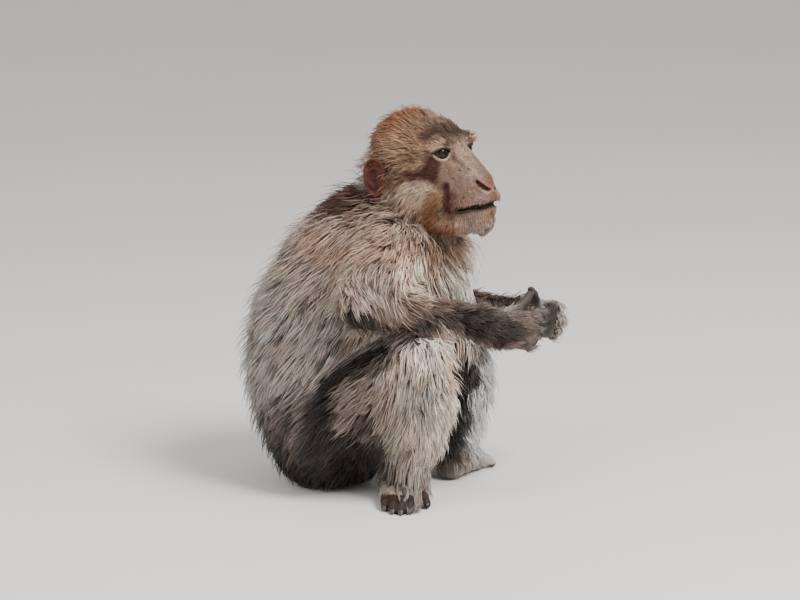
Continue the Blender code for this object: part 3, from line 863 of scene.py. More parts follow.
def body_tones():
    """Patches of coat colour, painted shade and painted light: colour, place or line, reach across, forward
    and up, and strength.
    """
    breast = [inside("trunk", 0.5, 0.93, 0.86), inside("trunk", 0.5, 1.0, 0.62)]
    tones = [
        # painted shade: the lowest part of the rump, its dark brown coat darkened to near black
        ("#120a07", inside("trunk", 0.5, 0.42, 0.05), (0.14, 0.135, 0.08), 0.96),
        # painted shade on the underside of the belly
        ("#3d342e", inside("trunk", 0.5, 0.72, 0.22), (0.1, 0.07, 0.075), 0.9),
        ("#a89d96", inside("trunk", 0.5, 0.03, 0.5), (0.13, 0.07, 0.12), 0.5),
        ("#432519", inside("neck", 0.5, 0.12, 0.92), (0.07, 0.05, 0.034), 0.92),
        ("#ffefdd", breast, (0.07, 0.05, 0.04), 0.95),
        ("#7a4c28", on_head(0, 0.03, -0.088), (0.06, 0.05, 0.018), 0.7),
    ]
    for side in SIDES:
        shoulder, elbow, middle, wrist = joints(side, "shoulder", "elbow", "mid_forearm", "wrist")
        knee, ankle = joints(side, "knee", "ankle")

        def at(across, forward, up):
            return inside("trunk", 0.5 + side * across, forward, up)

        def beside(place, out, front, up):
            return place + Vector((side * out, -front, up))

        # lines of painted shade under the forearm, beneath the elbow and in the crease between thigh and
        # trunk
        under = [beside(elbow, 0.0, 0.006, -0.012), beside(middle, 0.012, 0.0, 0.002)]
        under.append(beside(wrist, 0.012, 0.0, 0.0))
        beneath = [beside(elbow, -0.014, -0.028, -0.032), beside(elbow, -0.004, 0.026, -0.026)]
        crease = [beside(knee, 0.004, -0.034, 0.014), at(0.5, 0.5, 0.43)]
        crease += [at(0.55, 0.44, 0.29), at(0.54, 0.4, 0.2)]
        tones += [
            ("#b08f7c", at(0.28, 0.42, 0.86), (0.03, 0.03, 0.022), 0.6),
            ("#bd9c86", beside(shoulder, 0.023, -0.015, 0.012), (0.035, 0.045, 0.022), 0.75),
            ("#bf9f8c", beside(shoulder.lerp(elbow, 0.85), 0.01, 0.0, 0.025), (0.03, 0.018, 0.022), 0.6),
            ("#b9aba1", shoulder.lerp(elbow, 0.5), (0.05, 0.028, 0.028), 0.75),
            ("#fde2cb", beside(shoulder, 0.026, 0.034, -0.01), (0.038, 0.022, 0.036), 0.88),
            # painted shade under the forearm and elbow, and on the flank beneath the elbow
            ("#2e2520", under, (0.035, 0.035, 0.0115), 0.92),
            ("#362922", beside(elbow, 0.0, 0.004, -0.004), (0.036, 0.03, 0.0175), 0.9),
            ("#1c110b", beneath, (0.036, 0.024, 0.015), 0.92),
            # painted shade in the crease between thigh and trunk, and in the hollow between thigh, rump and
            # belly
            ("#1a100b", crease, (0.035, 0.017, 0.0165), 0.96),
            ("#1c120c", [at(0.55, 0.5, 0.33), at(0.54, 0.5, 0.24)], (0.035, 0.016, 0.016), 0.9),
            ("#170e09", [at(0.52, 0.57, 0.235), at(0.33, 0.6, 0.14)], (0.032, 0.024, 0.021), 0.92),
            # the pale coat of the knee, lighter still with painted light where light falls on it
            ("#fae2d2", beside(knee, 0.0, 0.01, 0.018), (0.035, 0.028, 0.024), 0.96),
            ("#f0dccb", beside(knee.lerp(ankle, 0.35), 0.0, 0.026, 0.0), (0.03, 0.018, 0.06), 0.85),
            ("#7b6e64", beside(ankle, 0.0, -0.02, 0.015), (0.035, 0.025, 0.022), 0.5),
        ]
    hand, foot = inside("hand_left", 0.5, 0.55, 0.5), inside("foot_right", 0.5, 0.5, 0.2)
    knee, ankle = joints(1, "knee", "ankle")
    inner = [knee + Vector((-0.03, 0.0, -0.02)), ankle + Vector((-0.02, 0.01, 0.02))]
    front = [knee + Vector((-0.002, -0.03, 0.0)), ankle + Vector((0.002, -0.03, 0.012))]
    tones += [
        # painted shade on the inner side of the far leg; the front of its shin is pale coat made white with
        # painted light
        ("#2a2624", inner, (0.024, 0.027, 0.03), 0.94),
        ("#ffffff", front, (0.028, 0.02, 0.022), 0.96),
        ("#c9bdb3", hand, (0.045, 0.034, 0.04), 0.9),
        ("#a8988c", foot, (0.045, 0.04, 0.022), 0.8),
    ]
    return tones


JAW_EDGE = ((0.041, -0.006, -0.054), (0.038, 0.02, -0.064), (0.028, 0.06, -0.078))
HEAD_TONES = (
    # Tones on one side of the head, in the head's own directions: colour, place or line, reach, strength
    ("#a05c33", (0.0, -0.006, 0.05), (0.045, 0.04, 0.022), 0.85),
    ("#8a5836", (0.03, -0.02, 0.026), (0.026, 0.036, 0.026), 0.8),
    ("#a17e62", (0.04, 0.024, 0.012), (0.022, 0.028, 0.018), 0.85),
    ("#a49b93", (0.0, 0.044, 0.043), (0.02, 0.014, 0.01), 0.75),
    ("#4b392d", ((0.028, 0.045, 0.0225), (0.0, 0.056, 0.025)), (0.011, 0.009, 0.0085), 0.9),
    ("#4d382b", ((0.0, 0.064, 0.0185), (0.018, 0.06, 0.017)), (0.01, 0.009, 0.0062), 0.88),
    # tan hair on the brow above the eye's outer corner, with a painted highlight on it
    ("#cfa588", ((0.024, 0.058, 0.0165), (0.032, 0.052, 0.01)), (0.005, 0.006, 0.0034), 0.8),
    ("#7a5236", ((0.045, 0.028, -0.016), (0.043, -0.002, -0.018)), (0.014, 0.01, 0.006), 0.85),
    ("#421703", ((0.0335, 0.052, -0.003), (0.037, 0.048, -0.021)), (0.012, 0.0105, 0.008), 0.98),
    ("#431606", ((0.037, 0.048, -0.018), (0.043, 0.034, -0.018)), (0.01, 0.01, 0.0075), 0.96),
    ("#cdb49a", ((0.046, 0.04, -0.036), (0.044, 0.002, -0.038)), (0.018, 0.018, 0.015), 0.95),
    ("#7d522a", ((0.04, 0.052, -0.042), (0.037, 0.048, -0.06)), (0.01, 0.008, 0.009), 0.9),
    ("#7f4f24", JAW_EDGE, (0.014, 0.016, 0.008), 0.92),
    ("#ad9180", ((0.008, 0.064, 0.004), (0.01, 0.086, -0.018)), (0.014, 0.016, 0.014), 0.9),
    ("#85705f", (0.029, 0.064, -0.019), (0.006, 0.008, 0.01), 0.8),
    ("#8c7464", (0.022, 0.076, -0.03), (0.011, 0.014, 0.012), 0.9),
    ("#9c7f78", (0.016, 0.094, -0.043), (0.014, 0.013, 0.0075), 0.88),
    # painted shade along the fold between cheek and muzzle
    ("#5e3a30", ((0.03, 0.072, -0.042), (0.03, 0.071, -0.056)), (0.006, 0.006, 0.009), 0.85),
    ("#421206", ((0.032, 0.065, -0.03), (0.0315, 0.0655, -0.053)), (0.0052, 0.0052, 0.006), 0.98),
    ("#af998d", (0.0, 0.088, -0.078), (0.028, 0.03, 0.012), 0.9),
    ("#98806f", (0.018, 0.088, -0.064), (0.02, 0.02, 0.008), 0.85),
    ("#f0ebe6", (0.036, -0.044, -0.01), (0.026, 0.024, 0.034), 0.96),
)

SKIN_TONES = (
    # Tones of the bare skin of one side of the face, with painted shade inside the nostrils and the mouth
    ("#8f7369", (0.014, 0.094, -0.044), (0.016, 0.02, 0.009), 0.85),
    ("#5f342d", (0.0, 0.101, -0.027), (0.009, 0.007, 0.009), 0.9),
    # dark red nostrils, darker still with painted shade inside them
    ("#33100c", NOSTRIL, (0.0052, 0.0052, 0.0025), 0.98),
    ("#6c5347", [(side, front, up - 0.006) for side, front, up in MOUTH], (0.006, 0.006, 0.003), 0.85),
    # painted shade inside the open mouth
    ("#24170f", MOUTH, (0.011, 0.011, 0.0052), 1.0),
)
EYELID_TONES = ("#94867b", "#241713")  # the pale rim of the lower lid, and the dark edge of the upper one, painted shade under the brow
EAR_TONES = ("#4c2218", "#3a1810")  # skin of the ear's rim, and of its hollow, darker with painted shade
DIGIT_TONES = {
    "hand_right": "#1a1310",
    "hand_left": "#1a1411",
    "foot_right": "#2a1e18",
    "foot_left": "#aca196",
}
# dark skin of the soles, with painted shade where the feet meet the floor
SOLE_TONE = "#1a1411"


EAR_DISC = (0.0146, 0.0225)  # half width and half height of an ear's outer face
HIDDEN_SKIN = 0.55  # skin under hair is this dark against its coat


def washed(colours, places, tones):
    """Lays soft patches of colour over colours."""
    for colour, middle, reach, strength in tones:
        share = strength * (1 - smooth_step(0.55, 1.25, from_patch(places, middle, reach)))[:, None]
        colours = lerp(colours, linear(colour), share)
    return colours


def coat_colours(places):
    """The colour of the coat at each place. Skin and hair both take theirs from here."""
    weights = shares(places)
    colours = washed(mixed(weights, "tone"), places, body_tones())
    headed = washed(colours, folded(places), HEAD_TONES)
    return lerp(colours, headed, smooth_step(0.2, 0.8, share_of(weights, "head"))[:, None])


def around_eye(places):
    """A place seen from the nearest eye: its height, its distance, how deep and how far outwards it lies."""
    best = None
    for side in SIDES:
        local = within(eye_axes(side), places)
        radius = np.linalg.norm(local, axis=1)
        row = np.stack([local[:, 2], radius, local[:, 1], local[:, 0] * side], axis=1)
        closer = radius < (best[:, 1] if best is not None else np.inf)
        best = row if best is None else np.where(closer[:, None], row, best)
    return best


def in_ear(places):
    """How far a place is on an ear's outer face, in its hollow and behind its plate, each from 0 to 1."""
    share, hollow, behind = np.zeros((3, len(places)))
    for side in SIDES:
        local = within(ear_axes(side), places)
        disc = np.hypot(*(local[:, 1:] / EAR_DISC).T)
        outward = local[:, 0] * side
        here = (1 - smooth_step(0.95, 1.12, disc)) * smooth_step(-0.0045, -0.0015, outward)
        share = np.maximum(share, here * (outward < 0.012))
        hollow = np.maximum(hollow, here * (1 - smooth_step(0.35, 0.8, disc)))
        behind = np.maximum(behind, (disc < 1.05) & (outward > -0.014) & (outward < 0.012))
    return share, hollow, behind


def skin_colours(places):
    """The colour of the skin: the coat's, darker, where hair hides it, and its own where it is bare."""
    weights = shares(places)
    colours = coat_colours(places) * (HIDDEN_SKIN + (1 - HIDDEN_SKIN) * bareness(places)[:, None])
    faced = washed(colours, folded(places), SKIN_TONES)
    colours = lerp(colours, faced, smooth_step(0.3, 0.8, share_of(weights, "head"))[:, None])
    height, radius, _, outward = around_eye(places).T
    near = radius < EYE_RADIUS + 0.0055
    below = np.hypot((outward + 0.001) / (OPENING_HALF_WIDTH + 0.0012), height / (OPENING_DOWN + 0.0026))
    above = np.hypot(outward / (OPENING_HALF_WIDTH + 0.002), height / (OPENING_UP + 0.0022))
    lower = np.where(near & (height < 0), 1 - smooth_step(0.9, 1.08, below), 0)
    # the dark edge of the upper lid is painted shade under the brow
    upper = np.where(near & (height >= 0), 1 - smooth_step(0.92, 1.12, above), 0)
    # the ear's hollow is darkened with painted shade
    ear, hollow, _ = in_ear(places)
    layers = [*zip(EYELID_TONES, (lower, upper)), *zip(EAR_TONES, (ear, hollow))]
    on_digit = np.maximum(on_digits(places), 0.35)
    layers += [(tone, share_of(weights, name) * on_digit) for name, tone in DIGIT_TONES.items()]
    on_foot = share_of(weights, "foot_right") + share_of(weights, "foot_left")
    # the soles darken towards the floor: dark skin, and painted shade where the foot meets the floor
    layers.append((SOLE_TONE, on_foot * (1 - smooth_step(0.0025, 0.0065, places[:, 2]))))
    for tone, share in layers:
        colours = lerp(colours, linear(tone), share[:, None])
    return colours


def on_digits(places):
    """1 on the bare stretches of fingers and toes."""
    found = np.zeros(len(places))
    for line in DIGITS:
        found = np.maximum(found, 1 - smooth_step(0.0075, 0.01, to_segments(places, line)))
    return found


BARE_SPOTS = (
    # on one side of the head: place or line, and reach
    ((0.0, 0.1, -0.031), (0.012, 0.008, 0.009)),
    (NOSTRIL, (0.0045, 0.0045, 0.0036)),
    (MOUTH, (0.0064, 0.0064, 0.0056)),
)


def bareness(places):
    """1 where no hair grows: lids, nose, lips, the ear's outer face, fingers and toes. 0 on the coat."""
    local = folded(places)
    bare = on_digits(places)
    for middle, reach in BARE_SPOTS:
        bare = np.maximum(bare, 1 - smooth_step(0.8, 1.15, from_patch(local, middle, reach)))
    height, radius, depth, outward = around_eye(places).T
    tall = np.where(height > 0, OPENING_UP + 0.0024, OPENING_DOWN + 0.003)
    lid = 1 - smooth_step(0.9, 1.12, np.hypot(outward / (OPENING_HALF_WIDTH + 0.0018), height / tall))
    bare = np.maximum(bare, lid * (radius < EYE_RADIUS + 0.006) * (depth < 0.002))
    ear, _, behind = in_ear(places)
    return np.maximum(bare, np.maximum(ear, behind))


# ---- the coat

COAT_PIECES = {
    # piece: its regions, its side (0 for both), how many locks it has, and its slot
    "coat_head": (("head",), 0, 12300, "coat_crown"),
    "coat_face": (("face",), 0, 12500, "coat_crown"),
    "coat_back_right": (("rump", "loin", "chest", "neck"), -1, 12300, "coat"),
    "coat_back_left": (("rump", "loin", "chest", "neck"), 1, 12300, "coat"),
    "coat_arm_right": (("upper_arm_right", "forearm_right", "hand_right"), 0, 11500, "coat_limb"),
    "coat_arm_left": (("upper_arm_left", "forearm_left", "hand_left"), 0, 11500, "coat_limb"),
    "coat_leg_right": (("thigh_right", "shin_right", "foot_right"), 0, 12300, "coat_limb"),
    "coat_leg_left": (("thigh_left", "shin_left", "foot_left"), 0, 11500, "coat_limb"),
}
PATCH = 0.003  # side of a lock's patch on the OFBake map
FLOOR_GAP = 0.001  # the tips of the hair stay this far above the floor
ROOT_DEPTH = 0.0006  # the roots lie this far inside the skin
WIDTH_ALONG = ((0, 0.35, 0.7, 1), (0.75, 1.0, 0.72, 0))  # places along a lock, and its width there
SHADE_ALONG = ((0, 0.3, 0.75, 1), (0.42, 0.8, 1.0, 1.06))  # places along a lock, and how light it is there: painted shade towards the root, a faint painted sheen at the tip
LOCK_KEEL = 0.3  # how far the edges of a lock sink, against half its width
LOCK_RIDGE = 0.55  # how far its back stands out
STRAYS = 0.13  # share of the locks that stand off the coat, out of their clumps
UNWRAP_TRIANGLES = 9000
SPARE_ROOTS = 2.2  # roots drawn for each lock grown, since a piece only takes the roots that lie on it


class Skin:
    """The finished skin as arrays and search trees, for the hair to grow on."""

    def __init__(self, obj, hull):
        self.tree, self.corners, self.triangles = tree_of(obj.data)
        self.hull, _, _ = tree_of(hull.data)
        self.smooth = vertex_normals(obj.data)
        a, b, c = (self.corners[self.triangles[:, i]] for i in range(3))
        self.areas = np.linalg.norm(np.cross(b - a, c - a), axis=1) / 2

    def scatter(self, count, rng, density):
        """Random places on the skin, with their normals, denser where density says."""
        middles = self.corners[self.triangles].mean(axis=1)
        weight = self.areas * density(middles)
        faces = rng.choice(len(weight), count, p=weight / weight.sum())
        u, v = rng.random((2, count))
        flip = u + v > 1
        u, v = np.where(flip, 1 - u, u), np.where(flip, 1 - v, v)
        share = np.stack([1 - u - v, u, v], axis=1)[:, :, None]
        corners = self.triangles[faces]
        return (self.corners[corners] * share).sum(axis=1), unit((self.smooth[corners] * share).sum(axis=1))

    def nearest(self, places):
        """The nearest places on the skin, and the smoothed normals there."""
        spots = np.empty_like(places)
        faces = np.empty(len(places), int)
        for index, place in enumerate(places.tolist()):
            spot, _, face, _ = self.tree.find_nearest(place)
            spots[index] = spot
            faces[index] = face
        corners = self.triangles[faces]
        gaps = np.linalg.norm(self.corners[corners] - spots[:, None], axis=2)
        share = 1 / np.maximum(gaps, 1e-5)
        return spots, unit((self.smooth[corners] * share[:, :, None]).sum(axis=1))

    def room(self, places, normals, limit):
        """How far the outline is above each place, up to a limit."""
        found = np.array(limit)
        for index, (place, normal) in enumerate(zip(places.tolist(), normals.tolist())):
            _, _, _, gap = self.hull.ray_cast(place, normal, found[index])
            if gap is not None:
                found[index] = gap
        return found


def both_sides(across, front, up, *rest):
    """The same spot on both sides of the head."""
    return [(on_head(side * across, front, up), *rest) for side in (1, -1)]


COAT_SPOTS = (
    # places where the coat is longer or shorter: the middle, its reach, and the factors for length and depth
    (joint("ankle", -1) + Vector((-0.02, -0.008, 0.016)), 0.04, 1.25, 1.2),
    (joint("ankle", 1) + Vector((0, 0, 0.03)), 0.026, 0.7, 0.9),
    (joint("elbow", -1), 0.036, 0.72, 0.85),
    (joint("mid_forearm", -1), 0.05, 0.8, 0.9),
    (inside("trunk", 0.5, 0.98, 0.74), 0.06, 1.15, 1.2),
    (on_head(0, 0.036, 0.042), 0.03, 1.8, 1.0),
    *both_sides(0.03, -0.045, -0.016, 0.03, 1.55, 1.0),
    *both_sides(-0.016, 0.056, 0.021, 0.017, 2.0, 1.2),
    (on_head(0, 0.098, -0.05), 0.024, 0.65, 1.0),
    (inside("foot_right", 0.4, 0.72, 0.6), 0.034, 2.4, 1.5),
)
BACKWARDS = HEAD.to_3x3() @ Vector((0, 1, 0))
HANGING = (
    # places where tufts hang free: the middle, its reach, how free they are, how far they lean out, the
    # factor for length, and the way they hang
    (joint("ankle", -1) + Vector((-0.024, -0.012, 0.004)), 0.036, 0.9, 0.4, 1.15, DOWN),
    (inside("foot_right", 0.4, 0.72, 0.65), 0.026, 0.85, 0.2, 1.3, Vector((-0.95, -0.1, -0.45))),
    (joint("wrist", -1) + Vector((-0.004, 0.016, -0.014)), 0.022, 0.8, 0.25, 0.9, DOWN),
    (inside("trunk", 0.5, 0.99, 0.67), 0.045, 0.8, 0.8, 1.15, DOWN),
    (inside("hand_left", 0.75, 0.8, 0.5), 0.026, 0.8, 0.9, 1.3, DOWN),
    *both_sides(0.03, -0.038, 0.0, 0.02, 0.95, 0.6, 0.72, BACKWARDS + DOWN * 0.15),
    *both_sides(0.028, -0.04, -0.024, 0.018, 0.95, 0.6, 0.7, BACKWARDS + DOWN * 0.4),
    (on_head(0.024, 0.052, 0.012), 0.014, 0.7, 2.0, 1.5, DOWN),
    (on_head(0.0, 0.092, -0.074), 0.014, 0.35, 1.4, 1.0, DOWN),
    (on_head(0.0, 0.103, -0.043), 0.009, 0.3, 1.2, 0.8, DOWN),
)


def by_spots(places, spots, column):
    """The product of the factors of some spots at each place."""
    factor = np.ones(len(places))
    for spot in spots:
        away = np.linalg.norm(places - np.array(spot[0]), axis=1) / spot[1]
        factor *= 1 + (spot[column] - 1) * (1 - smooth_step(0.5, 1.2, away))
    return factor


def lock_length(places, weights):
    """Length of a lock at each place."""
    length = lerp(mixed(weights, "length"), head_length(in_head(places)), share_of(weights, "head"))
    return length * by_spots(places, COAT_SPOTS, 2) * by_spots(places, HANGING, 4)


def comb(skin, roots, normals, lengths, rises, swing, steps):
    """Lines that follow the lie of the coat over the skin from the roots and rise off it to the outline."""
    spots, ups = roots, normals
    free = np.zeros(len(roots))
    lean = np.zeros(len(roots))
    pull = np.zeros((len(roots), 3))
    for middle, reach, strength, outward, _, way in HANGING:
        share = 1 - smooth_step(0.5, 1.1, np.linalg.norm(roots - np.array(middle), axis=1) / reach)
        free = np.maximum(free, share * strength)
        lean = np.maximum(lean, share * outward)
        pull += share[:, None] * way
    fall = unit(normals * lean[:, None] + combed(roots, normals, shares(roots)) * 0.35 + unit(pull))
    free = free[:, None]
    lines = [roots - normals * ROOT_DEPTH]
    facing = [normals]
    for step in range(steps):
        heading = combed(spots, ups, shares(spots))
        across = np.cross(ups, heading)
        heading = heading * np.cos(swing)[:, None] + across * np.sin(swing)[:, None]
        spots, ups = skin.nearest(spots + heading * (lengths / steps)[:, None])
        done = (step + 1) / steps
        laid = spots + ups * (rises * (1 - (1 - done) ** 1.4))[:, None]
        hung = roots + (fall * done + normals * 0.15) * lengths[:, None]
        lines.append(lerp(laid, hung, free))
        facing.append(unit(lerp(ups, normals, free)))
    lines = np.stack(lines, axis=1)
    height = roots[:, 2] - FLOOR_GAP
    share = np.clip(height / np.maximum(roots[:, 2] - lines[:, :, 2].min(axis=1), 1e-6), 0.05, 1.0)
    lines = roots[:, None] + (lines - roots[:, None]) * share[:, None, None]
    lines[:, :, 2] = np.maximum(lines[:, :, 2], FLOOR_GAP)
    return lines, np.stack(facing, axis=1)


def swirl(places, scale):
    """Smooth noise from -1 to 1 at each place."""
    return np.array([noise.noise(Vector(place) / scale) for place in places.tolist()])


class Locks:
    """Locks of hair, as lines with the way their backs face, their widths, tones and clumps."""

    def __init__(self, skin, roots, normals, rng, settings, steps, clumps=None):
        weights = shares(roots)
        head = share_of(weights, "head")
        self.roots = roots
        self.width = mixed(weights, "width") * settings.width
        self.width = lerp(self.width, 0.00035 + 0.045 * head_length(in_head(roots)), head)
        length = lock_length(roots, weights) * settings.length
        depth = mixed(weights, "depth") * by_spots(roots, COAT_SPOTS, 3)
        depth = lerp(depth, np.minimum(depth, 0.0006 + 0.42 * (length - 0.003)), head)
        room = skin.room(roots, normals, depth * 1.3)
        loose = rng.normal(0, 1, len(roots))
        rise = room * np.clip(0.88 + (0.16 + 0.12 * head) * loose, 0.45, 1.15 + 0.3 * head)
        length = length * np.clip(1 + 0.18 * rng.normal(0, 1, len(roots)), 0.55, 1.45)
        swing = 0.3 * swirl(roots, 0.035) + 0.1 * rng.normal(0, 1, len(roots))
        self.stray = (rng.random(len(roots)) < STRAYS) & (clumps is not None)
        rise = np.where(self.stray, rise * 1.5, rise)
        length = np.where(self.stray, length * 1.14, length)
        self.hold = smooth_step(0.005, 0.018, length)
        self.lines, self.facing = comb(skin, roots, normals, length, rise, swing, steps)
        if clumps is not None:
            self.gather(clumps, settings.clumping)

    def gather(self, clumps, strength):
        """Draws the locks towards the line of the clump that each belongs to."""
        finder = KDTree(len(clumps.roots))
        for index, root in enumerate(clumps.roots.tolist()):
            finder.insert(root, index)
        finder.balance()
        self.clump = np.array([finder.find(root)[1] for root in self.roots.tolist()])
        share = np.linspace(0, 1, self.lines.shape[1]) ** 1.6 * strength
        marks = np.linspace(0, clumps.lines.shape[1] - 1, self.lines.shape[1])
        low = np.floor(marks).astype(int)
        high = np.minimum(low + 1, clumps.lines.shape[1] - 1)
        between = (marks - low)[None, :, None]
        goal = clumps.lines[self.clump]
        goal = lerp(goal[:, low], goal[:, high], between)
        near = np.linalg.norm(clumps.roots[self.clump] - self.roots, axis=1) < 0.02
        share = share[None, :, None] * (near * ~self.stray * self.hold)[:, None, None]
        self.lines = lerp(self.lines, goal, share)

    def mesh(self, name, tones, map_places):
        """One mesh of all the locks: three-sided, flat, tapering to a point, closed at the root."""
        count, stations, _ = self.lines.shape
        along = unit(np.gradient(self.lines, axis=1))
        across = unit(np.cross(self.facing, along))
        above = np.cross(along, across)
        profile = np.interp(np.linspace(0, 1, stations), *WIDTH_ALONG)
        half = self.width[:, None, None] / 2 * profile[None, :, None]
        left = self.lines - across * half - above * half * LOCK_KEEL
        right = self.lines + across * half - above * half * LOCK_KEEL
        ridge = self.lines + above * half * LOCK_RIDGE
        rings = np.stack([left, right, ridge], axis=2)[:, :-1].reshape(count, -1, 3)
        places = np.concatenate([rings, self.lines[:, -1:]], axis=1)
        per_lock = places.shape[1]
        faces = [(0, 2, 1)]
        for ring in range(stations - 2):
            low, high = ring * 3, ring * 3 + 3
            faces += [(low + i, low + (i + 1) % 3, high + (i + 1) % 3, high + i) for i in range(3)]
        last = (stations - 2) * 3
        faces += [(last + i, last + (i + 1) % 3, per_lock - 1) for i in range(3)]
        mesh = mesh_of_copies(name, places.reshape(-1, 3), faces, per_lock, count)
        share = np.append(np.repeat(np.linspace(0, 1, stations)[:-1], 3), 1.0)
        shade = np.interp(share, *SHADE_ALONG)[None, :, None]
        set_colours(mesh, "tone", (tones[:, None] * shade).reshape(-1, 3))
        corner = np.append(np.tile((0.0, 1.0, 0.5), stations - 1), 0.5)
        offset = (np.stack([corner, share], axis=1) - 0.5) * PATCH
        places_on_map = (map_places[:, None] + offset[None]).reshape(-1, 2)
        layer = mesh.uv_layers.new(name="OFBake")
        corners = read(mesh.loops, "vertex_index", 1, np.int32).ravel()
        layer.uv.foreach_set("vector", places_on_map[corners].astype(np.float32).ravel())
        return mesh


def mesh_of_copies(name, places, faces, per_copy, count):
    """A mesh of many copies of one small set of faces."""
    sizes = np.array([len(face) for face in faces])
    flat = np.concatenate(faces)
    corners = (np.arange(count)[:, None] * per_copy + flat[None]).ravel()
    totals = np.tile(sizes, count)
    mesh = bpy.data.meshes.new(name)
    mesh.vertices.add(len(places))
    mesh.vertices.foreach_set("co", places.astype(np.float32).ravel())
    mesh.loops.add(len(corners))
    mesh.loops.foreach_set("vertex_index", corners.astype(np.int32))
    mesh.polygons.add(len(totals))
    mesh.polygons.foreach_set("loop_start", np.concatenate([[0], np.cumsum(totals)[:-1]]).astype(np.int32))
    mesh.update(calc_edges=True)
    mesh.validate()
    return mesh


def unwrapped(skin_obj):
    """A coarse copy of the skin with its unwrap: a search tree of it, its triangles and their map corners."""
    proxy = new_object("proxy", skin_obj.data.copy())
    thin = proxy.modifiers.new("thin", "DECIMATE")
    thin.ratio = min(1.0, UNWRAP_TRIANGLES / (2 * len(proxy.data.polygons)))
    apply_modifiers(proxy)
    bm = bmesh.new()
    bm.from_mesh(proxy.data)
    bmesh.ops.triangulate(bm, faces=bm.faces)
    bm.to_mesh(proxy.data)
    bm.free()
    bpy.context.view_layer.objects.active = proxy
    proxy.select_set(True)
    bpy.ops.object.mode_set(mode="EDIT")
    bpy.ops.mesh.select_all(action="SELECT")
    bpy.ops.uv.smart_project(angle_limit=math.radians(66), island_margin=0.004)
    bpy.ops.object.mode_set(mode="OBJECT")
    mesh = proxy.data
    corners = coordinates(mesh)
    triangles = read(mesh.polygons, "vertices", 3, np.int32)
    flat = read(mesh.uv_layers.active.uv, "vector", 2)
    tree = BVHTree.FromPolygons(corners.tolist(), triangles.tolist())
    bpy.data.objects.remove(proxy)
    return tree, corners, triangles, flat.reshape(-1, 3, 2)


def on_map(unwrap, places):
    """Where places on the skin lie on its unwrap."""
    tree, corners, triangles, flat = unwrap
    hits = [tree.find_nearest(place) for place in places.tolist()]
    spots = np.array([hit[0] for hit in hits])
    faces = np.array([hit[2] for hit in hits])
    a, b, c = (corners[triangles[faces, i]] for i in range(3))
    normal = np.cross(b - a, c - a)
    size = np.maximum((normal * normal).sum(axis=1), 1e-18)
    second = (np.cross(c - b, spots - b) * normal).sum(axis=1) / size
    third = (np.cross(a - c, spots - c) * normal).sum(axis=1) / size
    share = np.stack([second, third, 1 - second - third], axis=1)
    return np.clip((flat[faces] * share[:, :, None]).sum(axis=1), PATCH, 1 - PATCH)


DARK_STREAKS = (0.055, 0.38)  # share of the clumps of the back that are dark, and how light they are
PALE_STREAKS = (0.18, 1.3)


def clump_tones(clumps, rng):
    """A colour for each clump: the coat's there, a little lighter or darker, with dark and pale streaks."""
    places = clumps.roots
    colours = coat_colours(places)
    weights = shares(places)
    head = share_of(weights, "head")
    value = 1 + 0.13 * swirl(places, 0.012) + 0.1 * rng.normal(0, 1, len(places))
    draw = rng.random(len(places))
    broad = np.clip(1 - 0.6 * head, 0, 1)
    value = np.where(draw < DARK_STREAKS[0] * broad, value * DARK_STREAKS[1], value)
    value = np.where(draw > 1 - PALE_STREAKS[0] * broad, value * PALE_STREAKS[1], value)
    warmth = (0.05 * swirl(places, 0.03) + 0.025 * rng.normal(0, 1, len(places)))[:, None]
    return np.clip(colours * value[:, None] * (1 + warmth * (1, 0, -1)), 0.004, 0.9)


def grow_coat(skin_obj, hull, settings):
    """All the coat pieces, grown from the skin out to the outline."""
    rng = np.random.default_rng(settings.seed)
    skin = Skin(skin_obj, hull)
    unwrap = unwrapped(skin_obj)
    total = sum(entry[2] for entry in COAT_PIECES.values())
    share = 1.0

    def density(places):
        weights = shares(places)
        size = mixed(weights, "width") * (1 - 0.45 * share_of(weights, "head"))
        thick = (0.0012 / size) ** 1.4 * (1 + 1.6 * nearness_to_face(places))
        return thick * (1 - bareness(places)) * (places[:, 2] > 0.0012)

    def clump_density(places):
        return density(places) * (1 + 0.8 * share_of(shares(places), "head"))

    count = int(skin.areas.sum() / settings.clump_gap**2 * 1.5)
    roots, normals = skin.scatter(count, rng, clump_density)
    clumps = Locks(skin, roots, normals, rng, settings, 3)
    tones = clump_tones(clumps, rng)
    roots, normals = skin.scatter(int(total * SPARE_ROOTS * share), rng, density)
    owner = shares(roots).argmax(axis=1)
    face = nearness_to_face(roots) > 0.5
    for name, (members, side, budget, slot) in COAT_PIECES.items():
        on_face = members == ("face",)
        if on_face:
            mine = face & (owner == NAMES.index("head"))
        else:
            mine = np.isin(owner, [NAMES.index(member) for member in members])
            if "head" in members:
                mine &= ~face
        if side:
            mine &= roots[:, 0] * side > 0
        picked = np.flatnonzero(mine)[: int(budget * share)]
        locks = Locks(skin, roots[picked], normals[picked], rng, settings, 2 if on_face else 3, clumps)
        locks.width *= 1.0 / math.sqrt(share)
        own = 1 + 0.07 * rng.normal(0, 1, len(picked))
        mesh = locks.mesh(name, tones[locks.clump] * own[:, None], on_map(unwrap, locks.roots))
        finish_piece(new_object(name, mesh), name, hair_material())
        print(name, "locks", len(picked), "of", int(mine.sum()), "triangles", count_triangles(mesh))


def count_triangles(mesh):
    return len(mesh.loops) - 2 * len(mesh.polygons)


def nearness_to_face(places):
    """1 on the short hair of the face, 0 on the rest of the head."""
    local = in_head(places)
    away = np.linalg.norm((local - (0, 0.074, -0.028)) / (0.03, 0.04, 0.046), axis=1)
    return 1 - smooth_step(0.8, 1.05, away)


# ---- eyes and nails


GAZE_TURN = {-1: 10.0, 1: 4.0}  # degrees that each eye looks outwards, and upwards
GAZE_LIFT = 4.0


